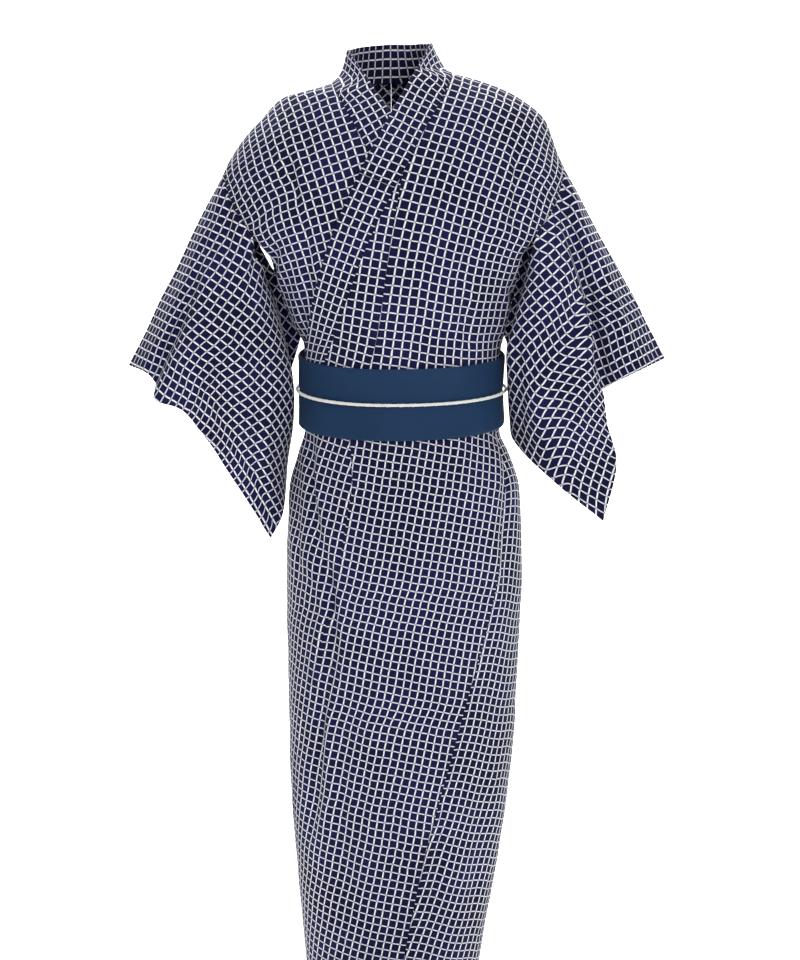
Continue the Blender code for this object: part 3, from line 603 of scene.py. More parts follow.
def shell(name, grid, out, thickness, cloth, material, closed=False):
    """A closed sheet: the grid is its outer face, and cloth gives each point's place in the pattern."""
    rows, columns = grid.shape[:2]
    count = rows * columns
    inner = grid - out * np.broadcast_to(thickness, (rows, columns))[..., None]
    points = np.concatenate((grid.reshape(-1, 3), inner.reshape(-1, 3)))
    index = np.arange(count).reshape(rows, columns)
    if closed:
        index = np.concatenate((index, index[:1]))
    near, beside = index[:-1, :-1], index[:-1, 1:]
    below, far = index[1:, :-1], index[1:, 1:]
    quads = [
        np.stack((near, below, far, beside), axis=-1).reshape(-1, 4),
        np.stack((near, beside, far, below), axis=-1).reshape(-1, 4) + count,
    ]
    for edge, turned in ((index[:, 0], True), (index[:, -1], False)):
        quads.append(rim(edge, count, turned))
    if not closed:
        quads.append(rim(index[0], count, False))
        quads.append(rim(index[-1], count, True))
    flat = np.concatenate((cloth.reshape(-1, 2), cloth.reshape(-1, 2)))
    return mesh_object(name, points, np.concatenate(quads), material, flat)


def rim(edge, count, turned):
    quad = np.stack((edge[:-1], edge[1:], edge[1:] + count, edge[:-1] + count), axis=-1)
    return quad[:, ::-1] if turned else quad


def mesh_object(name, points, faces, material, flat=None):
    mesh = bpy.data.meshes.new(name)
    mesh.from_pydata(points.tolist(), [], faces.tolist())
    mesh.materials.append(material)
    mesh.polygons.foreach_set("use_smooth", np.ones(len(mesh.polygons), bool))
    if flat is not None:
        layer = mesh.uv_layers.new(name="cloth")
        corners = np.empty(len(mesh.loops), np.int32)
        mesh.loops.foreach_get("vertex_index", corners)
        layer.data.foreach_set("uv", flat[corners].astype(np.float32).ravel())
    obj = bpy.data.objects.new(name, mesh)
    bpy.context.scene.collection.objects.link(obj)
    return obj


def running(grid, axis):
    """How far along the cloth each point of a grid lies, down its columns or across its rows."""
    steps = np.linalg.norm(np.diff(grid, axis=axis), axis=-1)
    start = np.zeros_like(steps[:1] if axis == 0 else steps[:, :1])
    return np.concatenate((start, np.cumsum(steps, axis)), axis)


def grid_normals(grid):
    down, across = np.gradient(grid, axis=0), np.gradient(grid, axis=1)
    return unit(np.cross(down, across))


# What a sheet was cut to, as far as it shows: its width, its length and its area where it isn't a
# rectangle, and how it is held on what. No sheet here is given one.
Cut = namedtuple("Cut", "width length area held rests_on")


def finish_piece(obj, node):
    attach(obj, "root")
    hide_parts(node)


# Where each point of the cloth lies in its pattern


def unwrapped(grid):
    """The points of an open grid, laid out flat with the least stretch."""
    rows, columns = grid.shape[:2]
    index = np.arange(rows * columns).reshape(rows, columns)
    quads = np.stack((index[:-1, :-1], index[1:, :-1], index[1:, 1:], index[:-1, 1:]), axis=-1)
    mesh = bpy.data.meshes.new("flat_sheet")
    mesh.from_pydata(grid.reshape(-1, 3).tolist(), [], quads.reshape(-1, 4).tolist())
    mesh.uv_layers.new(name="flat")
    obj = bpy.data.objects.new("flat_sheet", mesh)
    bpy.context.scene.collection.objects.link(obj)
    bpy.context.view_layer.objects.active = obj
    obj.select_set(True)
    bpy.ops.object.mode_set(mode="EDIT")
    bpy.ops.mesh.select_all(action="SELECT")
    bpy.ops.uv.unwrap(method="MINIMUM_STRETCH", margin=0.0, correct_aspect=False)
    bpy.ops.object.mode_set(mode="OBJECT")
    corners = np.empty(len(mesh.loops), np.int32)
    mesh.loops.foreach_get("vertex_index", corners)
    places = np.empty(2 * len(mesh.loops), np.float32)
    mesh.uv_layers["flat"].data.foreach_get("uv", places)
    flat = np.empty((rows * columns, 2))
    flat[corners] = places.reshape(-1, 2)
    bpy.data.objects.remove(obj, do_unlink=True)
    bpy.data.meshes.remove(mesh)
    return flat.reshape(rows, columns, 2)


def laid_flat(grid, line, across_first=False):
    """The grid laid out flat in metres, with the given line of it straight down, or straight across."""
    step = FLAT_STEP
    row_picks = np.unique(np.append(np.arange(0, grid.shape[0], step), grid.shape[0] - 1))
    column_picks = np.unique(np.append(np.arange(0, grid.shape[1], step), grid.shape[1] - 1))
    coarse = grid[np.ix_(row_picks, column_picks)]
    flat = unwrapped(coarse)
    true = np.linalg.norm(np.diff(coarse, axis=1), axis=-1)
    drawn = np.linalg.norm(np.diff(flat, axis=1), axis=-1)
    flat = flat * (true.sum() / drawn.sum())
    tall = np.stack([[np.interp(np.arange(grid.shape[0]), row_picks, flat[:, j, k]) for k in (0, 1)]
                     for j in range(len(column_picks))])
    full = np.stack([[np.interp(np.arange(grid.shape[1]), column_picks, tall[:, k, i]) for k in (0, 1)]
                     for i in range(grid.shape[0])]).transpose(0, 2, 1)
    way = full[line][-1] - full[line][0]
    way = way / np.linalg.norm(way)
    if across_first:
        across, down = way, np.array((-way[1], way[0]))
    else:
        across, down = np.array((way[1], -way[0])), way
    full = full - full[line][-1]
    placed = np.stack((full @ across, full @ down), axis=-1)
    beside = np.diff(placed, axis=1)[..., 0].sum()
    below = np.diff(placed, axis=0)[..., 1].sum()
    return placed * (math.copysign(1.0, beside), math.copysign(1.0, below))


def in_cells(flat, cell, phase=(0.0, 0.0)):
    """Places in metres as places in the pattern, whose cells measure so much across and along."""
    return flat / cell + phase


def hem_thickness(grid):
    """The shell's thickness, folded double at the hem."""
    folded = smooth((HEM + HEM_FOLD - grid[..., 2]) / 0.002)
    return SHELL + (HEM_SHELL - SHELL) * folded


PANEL_SHARES = shares_of(60)
OKUMI_SHARES = shares_of(34)


def half_panel(place, inner_line, rows, left_inset=0.5 * SEAM_GAP):
    places = np.array([
        spread(place(inner_line, row), place("edge", row), PANEL_SHARES, left_inset, left_inset)
        for row in rows
    ])
    return robe_points(places[..., 0], places[..., 1]), robe_normals(places[..., 0], places[..., 1])


def relieved(grid, out, seams=()):
    """The grid with the creases and the seams' dips worked into it."""
    amount = body_relief(grid)
    run = running(grid, 1)
    for seam in seams:
        amount = amount + seam_dip(run if seam == 0 else run[:, -1:] - run)
    return grid + out * amount[..., None]


def drawn_in(creased, smooth_grid):
    """How far the pattern shifts, across and along, because the creases take up cloth."""
    shifts = [running(creased, axis) - running(smooth_grid, axis) for axis in (1, 0)]
    shifts = [shift - shift.mean() for shift in shifts]
    return np.stack(shifts, axis=-1) / DRAWN_CELL


def panel_piece(name, front, back, left, material):
    """A body panel in one length, from the front hem over the shoulder to the back hem."""
    rows = fine_rows()
    front_grid, front_out = half_panel(front, "okumi", rows)
    back_grid, back_out = half_panel(back, "seam", rows)
    upper = rows <= WAIST_ROW
    bodice = np.concatenate((front_grid[upper][::-1], back_grid[upper][1:]))
    below_tip = slice(0, int((rows[upper] >= TIP_ROW).sum()))
    bodice = laid_flat(bodice, (below_tip, 0))
    front_skirt = laid_flat(front_grid[~upper], (slice(None), 0))
    back_skirt = laid_flat(back_grid[~upper], (slice(None), -1))
    cloth = np.concatenate((
        in_cells(front_skirt, SKIRT_CELL, (0.45, 0.0))[::-1],
        in_cells(bodice, BODICE_CELL, (0.45, 0.0)),
        in_cells(back_skirt, SKIRT_CELL, (0.3, 0.5)),
    ))
    grid = np.concatenate((front_grid[::-1], back_grid[1:]))
    out = np.concatenate((front_out[::-1], back_out[1:]))
    thickness = hem_thickness(grid)
    creased = relieved(grid, out, seams=(0, 1))
    cloth = cloth + drawn_in(creased, grid)
    grid = creased
    if left:
        grid, out, cloth = grid[:, ::-1], out[:, ::-1], cloth[:, ::-1]
        thickness = thickness[:, ::-1]
    return shell(name, grid, out, thickness, cloth, material)


def okumi_piece(name, front, free_name, left, material):
    """The okumi, the long strip that widens a front, from its tip at the collar to the hem."""
    rows = fine_rows(OKUMI_START)
    places = []
    for row in rows:
        end = front("seam", row) if row <= WAIST_ROW + 1 else free_edge(front, free_name, row)
        places.append(spread(front("okumi", row), end, OKUMI_SHARES, 0.5 * SEAM_GAP, 0.5 * SEAM_GAP))
    places = np.array(places)
    grid, out = robe_points(places[..., 0], places[..., 1]), robe_normals(places[..., 0], places[..., 1])
    upper = rows <= WAIST_ROW
    cloth = np.concatenate((
        in_cells(laid_flat(grid[upper], (slice(None), 0)), BODICE_CELL, (0.55, 0.5)),
        in_cells(laid_flat(grid[~upper], (slice(None), 0)), SKIRT_CELL, (0.55, 0.5)),
    ))
    thickness = hem_thickness(grid)
    run = running(grid, 1)
    free = ((rows > WAIST_ROW + 1)[:, None]) & (run[:, -1:] - run < HEM_FOLD)
    thickness = np.where(free, HEM_SHELL, thickness)
    creased = relieved(grid, out, seams=(0,))
    cloth = cloth + drawn_in(creased, grid)
    grid = creased
    if left:
        grid, out, cloth, thickness = (part[:, ::-1] for part in (grid, out, cloth, thickness))
    return shell(name, grid, out, thickness, cloth, material)


COLLAR_FOLD_SHARES = [0.0, 0.02, 0.05]
COLLAR_EDGE_SHARES = [0.94, 0.965, 0.985, 0.995, 1.0]
COLLAR_SHARES = np.concatenate((COLLAR_FOLD_SHARES, np.linspace(0.1, 0.9, 17), COLLAR_EDGE_SHARES))
COLLAR_ROUND = 0.0012
OVER_PHASE = 0.45


def collar_places(end_row):
    """(seam, free) places along the collar, from the left end round the neck to the right end."""
    rows = fine_rows(0.0, end_row)
    neck = rows[(rows > 0) & (rows <= NECK_ROW)]
    places = [(front_place("seam", r), front_place("free", r)) for r in rows[::-1]]
    places += [(back_place("seam", r), back_place("free", r)) for r in neck]
    places += [(right_back_place("seam", r), right_back_place("free", r)) for r in neck[:-1][::-1]]
    places += [(right_front_place("seam", r), right_front_place("free", r)) for r in rows]
    return places


def collar_piece(name, end_row, lift, thickness, phase, material):
    """A folded band along the neck, rounded over its free edge."""
    places = np.array([
        spread(seam, free, COLLAR_SHARES, SEAM_GAP, 0.0) for seam, free in collar_places(end_row)
    ])
    grid, out = robe_points(places[..., 0], places[..., 1]), robe_normals(places[..., 0], places[..., 1])
    run = running(grid, 1)
    to_free = run[:, -1:] - run
    rounded = -COLLAR_ROUND * (1 - np.minimum(to_free / 0.003, 1.0)) ** 2
    soft = ripple(grid[..., 0], grid[..., 2], 0.0002, seed=phase)
    amount = lift + rounded + seam_dip(run, 0.0010, 0.0022) + soft
    middle = running(grid, 0)[:, len(COLLAR_SHARES) // 2][:, None]
    across = np.broadcast_to(COLLAR_SHARES * COLLAR_CELLS, run.shape)
    cloth = np.stack((across + 0.35, middle / COLLAR_CELL + phase + 0 * run), axis=-1)
    grid = grid + out * amount[..., None]
    full = thickness * np.ones_like(run) + rounded
    return shell(name, grid, out, full, cloth, material)


# Sleeves


def sleeve_net(table, stations, across, face):
    """Points of a sleeve's net at stations from the shoulder and shares of the way to the cuff."""
    stations = np.asarray(stations, float)
    keys = range(len(table))
    xs = flowing(keys, [row.x for row in table], stations)
    zs = flowing(keys, [row.z for row in table], stations)
    depths = np.array([getattr(row, face) for row in table], float)
    ys = np.stack([cubic(keys, depths[:, k], stations) for k in range(4)], axis=-1)
    if face == "back":
        free = smooth(stations - ARMPIT_STATION)
        xs[:, 0] += np.copysign(BACK_OUT, xs[:, 0]) * free
        xs[:, 2] += np.copysign(2 * BACK_OUT, xs[:, 2]) * free
        xs[:, 1] += ((xs[:, 0] + xs[:, 2]) / 2 - xs[:, 1]) * free
        xs[:, 0] -= np.copysign(INNER_HANG, xs[:, 0]) * free * (1 - smooth(stations - ELBOW_STATION))
    weights = flowing((0.0, 1 / 3, 2 / 3, 1.0), np.eye(4), across)
    return np.einsum("ak,skd->sad", weights, np.stack((xs, ys, zs), axis=-1))


def behind_front(table, stations, across, gap):
    here = sleeve_net(table, stations, across, "front")
    nearer = sleeve_net(table, stations, across - NET_NUDGE, "front")
    higher = sleeve_net(table, stations - NET_NUDGE, across, "front")
    inwards = unit(np.cross(higher - here, here - nearer))
    return here + inwards * (np.copysign(1.0, here[..., 0]) * gap)[..., None]


SLEEVE_STATIONS = np.concatenate((np.linspace(0, 4, 57), np.linspace(4, 6, 47)[1:]))
SLEEVE_SHARES = np.concatenate(([0.003, 0.010, 0.022], np.linspace(0.04, 0.96, 52), [0.975, 0.99, 1.0]))
CLOSED_GAP = 0.0026


def sleeve_sheet(table, armhole, face):
    """One sheet of a sleeve, drawn onto the panel's edge along the armhole seam."""
    stations, across = SLEEVE_STATIONS, SLEEVE_SHARES
    grid = sleeve_net(table, stations, across, face)
    if face == "back":
        closing = smooth(stations - ELBOW_STATION)[:, None, None]
        foot = smooth((stations - 5.8) / 0.2)[:, None]
        gap = POUCH_GAP + (CLOSED_GAP - POUCH_GAP) * foot * np.ones(len(across))
        grid = grid + (behind_front(table, stations, across, gap) - grid) * closing
    pull = smooth((ARMHOLE_FADE - stations) / (ARMHOLE_FADE - ARMPIT_STATION))[:, None] * (1 - across) ** 3
    rows = np.minimum(stations / ARMPIT_STATION, 1.0) * EDGE_OPEN_ROW
    seam = np.array([robe_points(*armhole(face, row)) for row in rows])
    start = sleeve_net(table, np.minimum(stations, ARMPIT_STATION), np.zeros(1), face)[:, 0]
    return grid + (seam - start)[:, None] * pull[..., None]


def sleeve_piece(name, table, armhole, creases, left, material):
    front = sleeve_sheet(table, armhole, "front")
    back = sleeve_sheet(table, armhole, "back")
    grid = np.concatenate((back[::-1], front[1:]))
    ridge = len(SLEEVE_STATIONS) - 1
    cloth = in_cells(laid_flat(grid, (ridge, slice(None)), across_first=True), SLEEVE_CELL, (0.5, 0.35))
    out = grid_normals(grid)
    if not left:
        out = -out
    stations = np.concatenate((-SLEEVE_STATIONS[::-1], SLEEVE_STATIONS[1:]))
    closing = smooth(-stations - ELBOW_STATION)[:, None]
    behind = np.where(stations < 0, 1.0, 0.0)[:, None]
    x, z = grid[..., 0], grid[..., 2]
    near_ridge = smooth(np.abs(stations) / 0.6)[:, None]
    relief = crease_relief(creases, x, z)
    hidden = crease_relief(creases, x * 0.98, z + 0.02)
    amount = relief * (1 - behind) - relief * behind * closing + hidden * behind * (1 - closing)
    amount = amount * near_ridge + ripple(x, z, 0.00035, seed=2.0) * (1 - behind * closing)
    run = running(grid, 1)
    amount = amount + seam_dip(run) * smooth((ARMPIT_STATION - np.abs(stations))[:, None] / 0.5)
    cuff = run[:, -1:] - run
    thickness = np.where(cuff < HEM_FOLD, HEM_SHELL, SHELL)
    creased = grid + out * amount[..., None]
    cloth = cloth + drawn_in(creased, grid)
    grid = creased
    if not left:
        grid, out, cloth, thickness = (part[:, ::-1] for part in (grid, out, cloth, thickness))
    return shell(name, grid, out, thickness, cloth, material)


def left_armhole(face, row):
    return (front_place if face == "front" else back_place)("edge", row)


def right_armhole(face, row):
    return (right_front_place if face == "front" else right_back_place)("edge", row)


# The sash, its fold at the back and its cord

OBI_STEPS = 240
OBI_LAPS = (-1.0, -0.995, -0.98, -0.955, -0.92)


def obi_height(turn, up):
    return OBI_MIDDLE - OBI_DIP * np.cos(np.radians(turn)) + up * OBI_HEIGHT / 2


def obi_piece(material):
    """The sash, drawn round the waist in one smooth band with soft folded edges."""
    turns = np.arange(OBI_STEPS) * 360.0 / OBI_STEPS
    laps = np.array(OBI_LAPS)
    ups = np.concatenate((laps, np.linspace(-0.86, 0.86, 19), -laps[::-1]))
    turn, up = np.meshgrid(turns, ups, indexing="ij")
    from_edge = (1 - np.abs(up)) * OBI_HEIGHT / 2
    rounded = -0.0014 * (1 - np.minimum(from_edge / 0.003, 1.0)) ** 2
    pinch = -0.0012 * np.exp(-((up / 0.10) ** 2))
    angle = np.radians(turn)
    waves = 0.0005 * np.sin(angle * 3 + up * 2.2) + 0.0003 * np.sin(angle * 7 - up * 3.1)
    z = obi_height(turn, up)
    grid = ring_points(turn, z, OBI_CLEAR + OBI_CLOTH + rounded + pinch + waves * smooth(from_edge / 0.01))
    out = unit(ring_points(turn, z, 0.01) - ring_points(turn, z, 0.0))
    arc = running(grid, 0)
    cloth = np.stack((arc, (up + 1) * OBI_HEIGHT / 2), axis=-1)
    return shell("sash", grid, out, OBI_CLOTH + rounded - 0.0006, cloth, material, closed=True)


FOLD_LAYERS = 3
FOLD_LAYER = 0.0023


def fold_line():
    """The folded sash end's middle line, out from the sash and up, turning back at each fold."""
    pitch = (FOLD_CLOTH - FOLD_LAYER) / (FOLD_LAYERS - 1)
    radius = pitch / 2
    inset = 0.004
    points = []
    for layer in range(FOLD_LAYERS):
        out = FOLD_LAYER / 2 + layer * pitch
        low, high = FOLD_BOTTOM + inset, FOLD_TOP - inset
        ends = (low, high) if layer % 2 == 0 else (high, low)
        points += [(out, ends[0] + (ends[1] - ends[0]) * s) for s in np.linspace(0, 1, 12)]
        if layer < FOLD_LAYERS - 1:
            way = 1 if layer % 2 == 0 else -1
            for angle in np.linspace(-90, 90, 7)[1:-1]:
                points.append((
                    out + radius + radius * math.sin(math.radians(angle)),
                    ends[1] + way * radius * math.cos(math.radians(angle)),
                ))
    return np.array(points)


def obi_fold_piece(material):
    """The sash's end, folded flat in three against its back."""
    line = fold_line()
    along = unit(np.gradient(line, axis=0))
    beside = np.stack((along[:, 1], -along[:, 0]), axis=-1) * FOLD_LAYER / 2
    turns = 180.0 + np.linspace(-FOLD_HALF_TURN, FOLD_HALF_TURN, 41)
    base = OBI_CLEAR + OBI_CLOTH + FOLD_CLEAR
    sheets = []
    for profile in (line + beside, line - beside):
        z = np.broadcast_to(profile[:, 1], (len(turns), len(line)))
        sheets.append(ring_points(turns[:, None], z, base + profile[:, 0]))
    outer, inner = sheets
    run = np.concatenate(([0.0], np.cumsum(np.linalg.norm(np.diff(line, axis=0), axis=1))))
    width = np.linspace(0.0, 0.12, len(turns))
    cloth = np.stack(np.broadcast_arrays(width[:, None], run[None, :]), axis=-1)
    return shell("sash_fold", outer, outer - inner, 1.0, cloth, material)


STRANDS = 6
STRAND_RADIUS = 0.00095
STRAND_SIDES = 6
STRAND_TURNS = 64
STRAND_STEPS = 14
CORD_FADE = 4.0
CORD_REACH = 16.0


def cord_piece(material):
    """The sash cord, plaited from six strands, half of them turning each way."""
    count = STRAND_TURNS * STRAND_STEPS
    turn = np.arange(count) * 360.0 / count
    beside = np.abs(turn - 180.0) - FOLD_HALF_TURN
    over = 1.0 - smooth((beside - CORD_FADE) / CORD_REACH)
    out = OBI_CLEAR + OBI_CLOTH + SEAM_GAP + CORD_RADIUS + over * (FOLD_CLOTH + FOLD_CLEAR)
    path = ring_points(turn, obi_height(turn, 0.0), out)
    along = unit(np.roll(path, -1, axis=0) - np.roll(path, 1, axis=0))
    outward = unit(np.cross(along, (0.0, 0.0, 1.0)))
    upward = np.cross(outward, along)
    points, faces, flat = [], [], []
    ring = np.arange(STRAND_SIDES)
    for strand in range(STRANDS):
        way = 1 if strand % 2 == 0 else -1
        phase = 2 * math.pi * (strand // 2) / (STRANDS // 2) + (0.5 if way < 0 else 0.0)
        angle = way * 2 * math.pi * np.arange(count) / STRAND_STEPS + phase
        lift = 0.00022 * np.sin(3 * way * angle + strand)
        reach = CORD_RADIUS - STRAND_RADIUS - 0.00015 + lift
        centre = path + (outward * np.cos(angle)[:, None] + upward * np.sin(angle)[:, None]) * reach[:, None]
        for k in ring:
            turned = 2 * math.pi * k / STRAND_SIDES
            points.append(centre + (outward * math.cos(turned) + upward * math.sin(turned)) * STRAND_RADIUS)
            flat.append(np.stack((np.arange(count) * 0.001, np.full(count, k / STRAND_SIDES)), axis=-1))
        base = strand * STRAND_SIDES * count
        here = np.arange(count)
        after = (here + 1) % count
        for k in ring:
            this, other = base + k * count, base + ((k + 1) % STRAND_SIDES) * count
            faces.append(np.stack((this + here, this + after, other + after, other + here), axis=-1))
    points, faces, flat = np.concatenate(points), np.concatenate(faces), np.concatenate(flat)
    return mesh_object("sash_cord", points, faces, material, flat)


# Materials


class Nodes:
    """Short ways to make and join the nodes of one material."""

    def __init__(self, name):
        self.material = bpy.data.materials.new(name)
        self.material.use_nodes = True
        self.tree = self.material.node_tree
        self.shader = self.tree.nodes["Principled BSDF"]

    def add(self, kind, inputs=None, **settings):
        node = self.tree.nodes.new(kind)
        for key, value in settings.items():
            setattr(node, key, value)
        for key, value in (inputs or {}).items():
            self.feed(node.inputs[key], value)
        return node

    def feed(self, socket, value):
        if isinstance(value, bpy.types.NodeSocket):
            self.tree.links.new(value, socket)
        else:
            socket.default_value = value

    def maths(self, operation, *values):
        node = self.add("ShaderNodeMath", operation=operation)
        for socket, value in zip(node.inputs, values):
            self.feed(socket, value)
        return node.outputs[0]

    def ramp(self, value, low, high, to_low=0.0, to_high=1.0):
        inputs = {"Value": value, "From Min": low, "From Max": high, "To Min": to_low, "To Max": to_high}
        return self.add("ShaderNodeMapRange", inputs, interpolation_type="SMOOTHSTEP").outputs["Result"]

    def mix(self, share, a, b):
        node = self.add("ShaderNodeMix", data_type="RGBA")
        for name, value in (("Factor_Float", share), ("A_Color", a), ("B_Color", b)):
            socket = next(s for s in node.inputs if s.identifier == name)
            self.feed(socket, value)
        return next(s for s in node.outputs if s.identifier == "Result_Color")

    def noise(self, vector, scale, detail=2.0):
        inputs = {"Vector": vector, "Scale": scale, "Detail": detail}
        return self.add("ShaderNodeTexNoise", inputs).outputs["Fac"]


NAVY = (0.0072, 0.0078, 0.0600, 1.0)
NAVY_DEEP = (0.0034, 0.0038, 0.0300, 1.0)
WARP_WHITE = (0.95, 0.95, 0.98, 1.0)
WEFT_WHITE = (0.84, 0.85, 0.92, 1.0)
# The grey where the lattice lines cross, also used as the painted shade in the valleys between the white
# threads
CROSSING_AND_THREAD_SHADE_GREY = (0.26, 0.26, 0.34, 1.0)
WARP_HALF = 0.082
WEFT_HALF = 0.064
EDGE_SOFT = 0.030
THREADS_PER_CELL = 9.0


def lattice_cotton():
    """Navy cotton with a woven white lattice, whose lines pinch and grey where they cross, and whose white
    threads are greyed with painted shade in the valleys between them.
    """
    n = Nodes("navy_cotton_lattice")
    place = n.add("ShaderNodeUVMap", uv_map="cloth").outputs[0]
    split = n.add("ShaderNodeSeparateXYZ", {0: place}).outputs
    body = n.add("ShaderNodeTexCoord").outputs["Object"]
    drift = n.noise(place, 0.9)
    wobble = n.maths("MULTIPLY", n.maths("SUBTRACT", drift, 0.5), 0.16)
    u = n.maths("ADD", split[0], wobble)
    v = n.maths("ADD", split[1], n.maths("MULTIPLY", wobble, -0.8))
    from_warp = n.maths("PINGPONG", u, 0.5)
    from_weft = n.maths("PINGPONG", v, 0.5)
    fray = n.maths("MULTIPLY", n.maths("SUBTRACT", n.noise(place, 14.0, 1.0), 0.5), 0.05)
    pinch_warp = n.ramp(from_weft, 0.04, 0.20, 0.62, 1.0)
    pinch_weft = n.ramp(from_warp, 0.06, 0.22, 0.62, 1.0)
    warp_width = n.maths("ADD", n.maths("MULTIPLY", pinch_warp, WARP_HALF), fray)
    weft_width = n.maths("ADD", n.maths("MULTIPLY", pinch_weft, WEFT_HALF), fray)
    warp = n.ramp(n.maths("SUBTRACT", from_warp, warp_width), -EDGE_SOFT, EDGE_SOFT, 1.0, 0.0)
    weft = n.ramp(n.maths("SUBTRACT", from_weft, weft_width), -EDGE_SOFT, EDGE_SOFT, 1.0, 0.0)
    on_warp = n.ramp(from_warp, 0.07, 0.15, 1.0, 0.0)
    on_weft = n.ramp(from_weft, 0.06, 0.14, 1.0, 0.0)
    crossing = n.maths("MULTIPLY", on_warp, on_weft)
    wear = n.ramp(n.noise(body, 11.0, 3.0), 0.3, 0.7)
    ground = n.mix(wear, NAVY_DEEP, NAVY)
    thread_u = n.maths("PINGPONG", n.maths("MULTIPLY", split[0], THREADS_PER_CELL), 0.5)
    thread_v = n.maths("PINGPONG", n.maths("MULTIPLY", split[1], THREADS_PER_CELL), 0.5)
    weave = n.maths("MULTIPLY", n.maths("ADD", thread_u, thread_v), 1.0)
    # Painted shade: the white lines grey a little towards each thread's edge, in the valleys that the bump
    # sinks
    shade = n.ramp(weave, 0.1, 0.9, 0.88, 1.0)
    warp_colour = n.mix(shade, CROSSING_AND_THREAD_SHADE_GREY, WARP_WHITE)
    weft_colour = n.mix(shade, CROSSING_AND_THREAD_SHADE_GREY, WEFT_WHITE)
    colour = n.mix(weft, ground, weft_colour)
    colour = n.mix(warp, colour, warp_colour)
    colour = n.mix(n.maths("MULTIPLY", crossing, 0.72), colour, CROSSING_AND_THREAD_SHADE_GREY)
    raised = n.maths("MULTIPLY", n.maths("MAXIMUM", warp, weft), 0.6)
    height = n.maths("ADD", raised, n.maths("MULTIPLY", weave, 0.45))
    bump = n.add("ShaderNodeBump", {"Height": height, "Strength": 0.35, "Distance": 0.00025})
    n.feed(n.shader.inputs["Base Color"], colour)
    n.feed(n.shader.inputs["Roughness"], n.ramp(wear, 0.0, 1.0, 0.86, 0.78))
    n.feed(n.shader.inputs["Normal"], bump.outputs[0])
    n.shader.inputs["Specular IOR Level"].default_value = 0.15
    n.shader.inputs["Sheen Weight"].default_value = 0.03
    n.shader.inputs["Sheen Roughness"].default_value = 0.5
    return n.material


SASH_BLUE = (0.0085, 0.0420, 0.1120, 1.0)
SASH_DEEP = (0.0058, 0.0310, 0.0850, 1.0)


def sash_cloth():
    """Smooth plain-woven sash, with a fine horizontal rib whose grooves are darkened with painted shade, and
    soft cloudy shade.
    """
    n = Nodes("sash_plain_weave")
    place = n.add("ShaderNodeUVMap", uv_map="cloth").outputs[0]
    split = n.add("ShaderNodeSeparateXYZ", {0: place}).outputs
    body = n.add("ShaderNodeTexCoord").outputs["Object"]
    cloud = n.ramp(n.noise(body, 9.0, 3.0), 0.25, 0.75)
    rib = n.maths("PINGPONG", n.maths("MULTIPLY", split[1], 900.0), 0.5)
    pick = n.maths("PINGPONG", n.maths("MULTIPLY", split[0], 700.0), 0.5)
    weave = n.maths("ADD", n.maths("MULTIPLY", rib, 1.3), n.maths("MULTIPLY", pick, 0.7))
    # Painted shade: the colour darkens to the deep blue in the rib's grooves, where the bump sinks the cloth
    rib_shaded_thread = n.mix(n.ramp(weave, 0.0, 1.0), SASH_DEEP, SASH_BLUE)
    colour = n.mix(n.maths("MULTIPLY", cloud, 0.6), SASH_DEEP, rib_shaded_thread)
    bump = n.add("ShaderNodeBump", {"Height": weave, "Strength": 0.25, "Distance": 0.0002})
    n.feed(n.shader.inputs["Base Color"], colour)
    n.feed(n.shader.inputs["Roughness"], n.ramp(cloud, 0.0, 1.0, 0.70, 0.58))
    n.feed(n.shader.inputs["Normal"], bump.outputs[0])
    n.shader.inputs["Specular IOR Level"].default_value = 0.2
    n.shader.inputs["Sheen Weight"].default_value = 0.06
    n.shader.inputs["Sheen Roughness"].default_value = 0.4
    return n.material


CORD_WHITE = (0.95, 0.94, 0.90, 1.0)
CORD_SHADE = (0.80, 0.78, 0.72, 1.0)


def braid_cord():
    """Off-white silk strands with fine twisted grain."""
    n = Nodes("braided_white_cord")
    place = n.add("ShaderNodeUVMap", uv_map="cloth").outputs[0]
    grain = n.noise(place, 38.0, 2.0)
    body = n.add("ShaderNodeTexCoord").outputs["Object"]
    soil = n.ramp(n.noise(body, 60.0, 2.0), 0.3, 0.7)
    n.feed(n.shader.inputs["Base Color"], n.mix(n.ramp(grain, 0.2, 0.7), CORD_SHADE, CORD_WHITE))
    n.feed(n.shader.inputs["Roughness"], n.ramp(soil, 0.0, 1.0, 0.42, 0.55))
    bump = n.add("ShaderNodeBump", {"Height": grain, "Strength": 0.3, "Distance": 0.0002})
    n.feed(n.shader.inputs["Normal"], bump.outputs[0])
    n.shader.inputs["Sheen Weight"].default_value = 0.2
    return n.material


# Stage, light and camera

FLOOR_Z = -1.425
WALL_Y = 5.2
WALL_CURVE = 1.2
WALL_TOP = 3.2


def backdrop():
    """A pale floor that curves up into a pale wall."""
    profile = [(-6.0, FLOOR_Z)]
    for angle in np.linspace(0, 90, 25):
        turned = math.radians(angle)
        profile.append((
            WALL_Y - WALL_CURVE + WALL_CURVE * math.sin(turned),
            FLOOR_Z + WALL_CURVE - WALL_CURVE * math.cos(turned),
        ))
    profile.append((WALL_Y, WALL_TOP))
    points = [(x, y, z) for x in (-7.0, 7.0) for y, z in profile]
    count = len(profile)
    faces = [(i, i + count, i + count + 1, i + 1) for i in range(count - 1)]
    n = Nodes("pale_floor")
    n.shader.inputs["Base Color"].default_value = (0.88, 0.88, 0.88, 1.0)
    n.shader.inputs["Roughness"].default_value = 0.9
    floor = mesh_object("floor", np.array(points), np.array(faces), n.material)


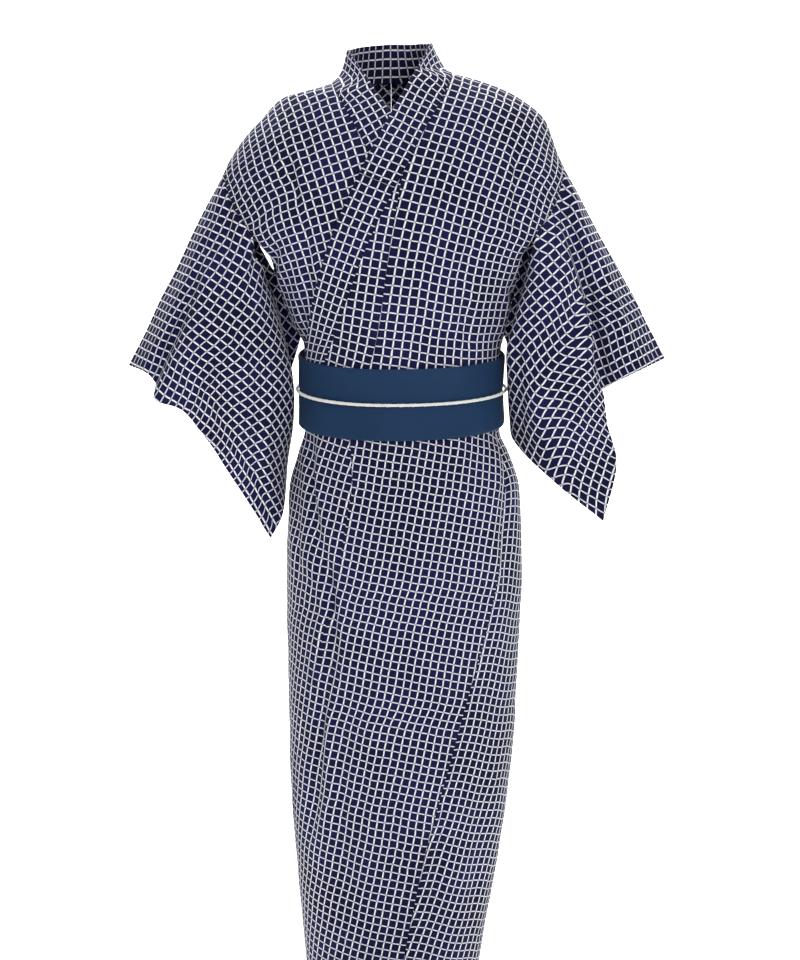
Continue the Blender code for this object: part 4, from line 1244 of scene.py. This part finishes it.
Lamp = namedtuple("Lamp", "name place aim size power")
LIGHT_GAIN = 1.28
LAMPS = (
    Lamp("key", (1.6, -3.2, 1.5), (0.0, 0.0, -0.6), 1.6, 44.0),
    Lamp("fill", (-2.4, -2.6, 0.4), (0.0, 0.0, -0.6), 2.0, 10.0),
    Lamp("top", (0.0, 0.4, 2.6), (0.0, 0.0, -0.6), 2.2, 24.0),
    Lamp("wall", (0.0, 2.4, 3.2), (0.0, 5.2, -0.6), 3.0, 520.0),
)


def aim(obj, target):
    way = np.array(target) - np.array(obj.location)
    flat = math.hypot(way[0], way[1])
    obj.rotation_euler = (math.pi / 2 + math.atan2(way[2], flat), 0.0, math.atan2(-way[0], way[1]))


def lights():
    for lamp in LAMPS:
        data = bpy.data.lights.new(lamp.name, "AREA")
        data.shape = "DISK"
        data.size = lamp.size
        data.energy = lamp.power * LIGHT_GAIN
        obj = bpy.data.objects.new(lamp.name, data)
        obj.location = lamp.place
        aim(obj, lamp.aim)
        bpy.context.scene.collection.objects.link(obj)
    world = bpy.data.worlds.new("studio")
    world.use_nodes = True
    world.node_tree.nodes["Background"].inputs["Color"].default_value = (0.97, 0.98, 1.0, 1.0)
    world.node_tree.nodes["Background"].inputs["Strength"].default_value = 0.42
    bpy.context.scene.world = world
    bpy.context.scene.view_settings.view_transform = "Standard"


CAMERA_PLACE = (0.013, -3.0, -0.37)
CAMERA_DOWN = 5.0
CAMERA_LENS = 77.6


def camera():
    data = bpy.data.cameras.new("camera")
    data.sensor_width = 36.0
    data.lens = CAMERA_LENS
    obj = bpy.data.objects.new("camera", data)
    obj.location = CAMERA_PLACE
    obj.rotation_euler = (math.radians(90.0 - CAMERA_DOWN), 0.0, 0.0)
    bpy.context.scene.collection.objects.link(obj)
    bpy.context.scene.camera = obj


def build():
    cotton, sash, cord = lattice_cotton(), sash_cloth(), braid_cord()
    over_out = SEAM_GAP + OVER_COLLAR_CLOTH
    made = {
        "left_panel": panel_piece("left_body", front_place, back_place, True, cotton),
        "right_panel": panel_piece("right_body", right_front_place, right_back_place, False, cotton),
        "left_okumi": okumi_piece("left_front_strip", front_place, "left_free", True, cotton),
        "right_okumi": okumi_piece("right_front_strip", right_front_place, "right_free", False, cotton),
        "collar": collar_piece("collar_band", WAIST_ROW + 1, 0.0, COLLAR_CLOTH, 0.1, cotton),
        "over_collar": collar_piece(
            "collar_cover", OVER_COLLAR_ROW, over_out, OVER_COLLAR_CLOTH, OVER_PHASE, cotton
        ),
        "left_sleeve": sleeve_piece(
            "left_sleeve_cloth", LEFT_SLEEVE, left_armhole, LEFT_SLEEVE_CREASES, True, cotton
        ),
        "right_sleeve": sleeve_piece(
            "right_sleeve_cloth", RIGHT_SLEEVE, right_armhole, RIGHT_SLEEVE_CREASES, False, cotton
        ),
        "obi": obi_piece(sash),
        "obi_fold": obi_fold_piece(sash),
        "obi_cord": cord_piece(cord),
    }
    for node, obj in made.items():
        finish_piece(obj, node)


build()
backdrop()
lights()
camera()
